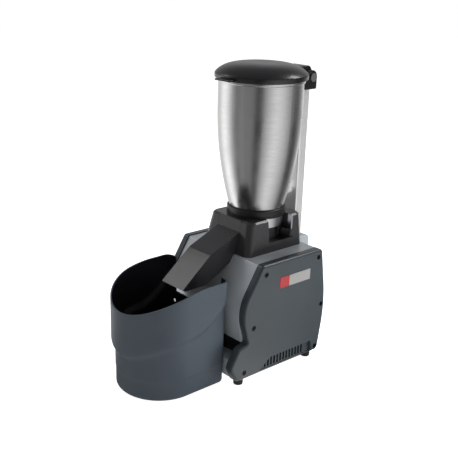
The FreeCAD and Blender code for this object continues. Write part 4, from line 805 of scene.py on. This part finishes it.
def studio_camera(look):
    """The camera, from its place and its three angles."""
    turn, tilt, roll = look.camera_turn, look.camera_tilt, look.camera_roll
    back = Vector((math.sin(turn) * math.cos(tilt), -math.cos(turn) * math.cos(tilt), math.sin(tilt)))
    across = Vector((math.cos(turn), math.sin(turn), 0))
    upward = back.cross(across)
    right = across * math.cos(roll) + upward * math.sin(roll)
    up = upward * math.cos(roll) - across * math.sin(roll)
    data = bpy.data.cameras.new("studio_camera")
    data.lens = look.camera_lens
    data.sensor_width = 36
    data.shift_x = look.shift_x
    data.shift_y = look.shift_y
    camera = bpy.data.objects.new("studio_camera", data)
    bpy.context.scene.collection.objects.link(camera)
    matrix = Matrix((right, up, back)).transposed().to_4x4()
    matrix.translation = Vector(look.camera_place)
    camera.matrix_world = matrix
    return camera


class CRUSHER_OT_studio(bpy.types.Operator):
    """Set up the floor, the soft lights and the camera"""
    bl_idname = "crusher.studio"
    bl_label = "Studio"

    def execute(self, context):
        look = settings("studio")
        clear_selection()
        bpy.ops.mesh.primitive_grid_add(x_subdivisions=4, y_subdivisions=4, size=FLOOR_SIZE,
                                        location=(0, 0, FLOOR_HEIGHT))
        floor = made_object("studio_floor")
        floor.data.materials.append(floor_finish(look))
        context.scene.world = studio_world(look)
        context.scene.view_settings.view_transform = "Standard"
        add_lamps()
        context.scene.camera = studio_camera(look)
        return {"FINISHED"}


class CRUSHER_PT_panel(bpy.types.Panel):
    """The crusher's builders and settings"""
    bl_label = "Ice crusher"
    bl_idname = "CRUSHER_PT_panel"
    bl_space_type = "VIEW_3D"
    bl_region_type = "UI"
    bl_category = "Ice crusher"

    def draw(self, context):
        for operator in OPERATORS:
            self.layout.operator(operator.bl_idname)
        for group in GROUPS:
            holder = settings(group)
            for name in holder.__annotations__:
                self.layout.prop(holder, name)


OPERATORS = [CRUSHER_OT_finishes, CRUSHER_OT_edges, CRUSHER_OT_trim, CRUSHER_OT_bucket, CRUSHER_OT_lid,
             CRUSHER_OT_studio]
GROUPS = {"finish": FinishSettings, "shape": ShapeSettings, "studio": StudioSettings}


def register():
    for group in GROUPS.values():
        bpy.utils.register_class(group)
    for name, group in GROUPS.items():
        setattr(bpy.types.Scene, "crusher_" + name, PointerProperty(type=group))
    for operator in OPERATORS:
        bpy.utils.register_class(operator)
    bpy.utils.register_class(CRUSHER_PT_panel)


def unregister():
    bpy.utils.unregister_class(CRUSHER_PT_panel)
    for operator in reversed(OPERATORS):
        bpy.utils.unregister_class(operator)
    for name in GROUPS:
        delattr(bpy.types.Scene, "crusher_" + name)
    for group in GROUPS.values():
        bpy.utils.unregister_class(group)


def main():
    """Build everything in order."""
    register()
    bpy.ops.crusher.finishes()
    bpy.ops.crusher.edges()
    bpy.ops.crusher.trim()
    bpy.ops.crusher.bucket()
    bpy.ops.crusher.lid()
    bpy.ops.crusher.studio()


if __name__ == "__main__":
    main()
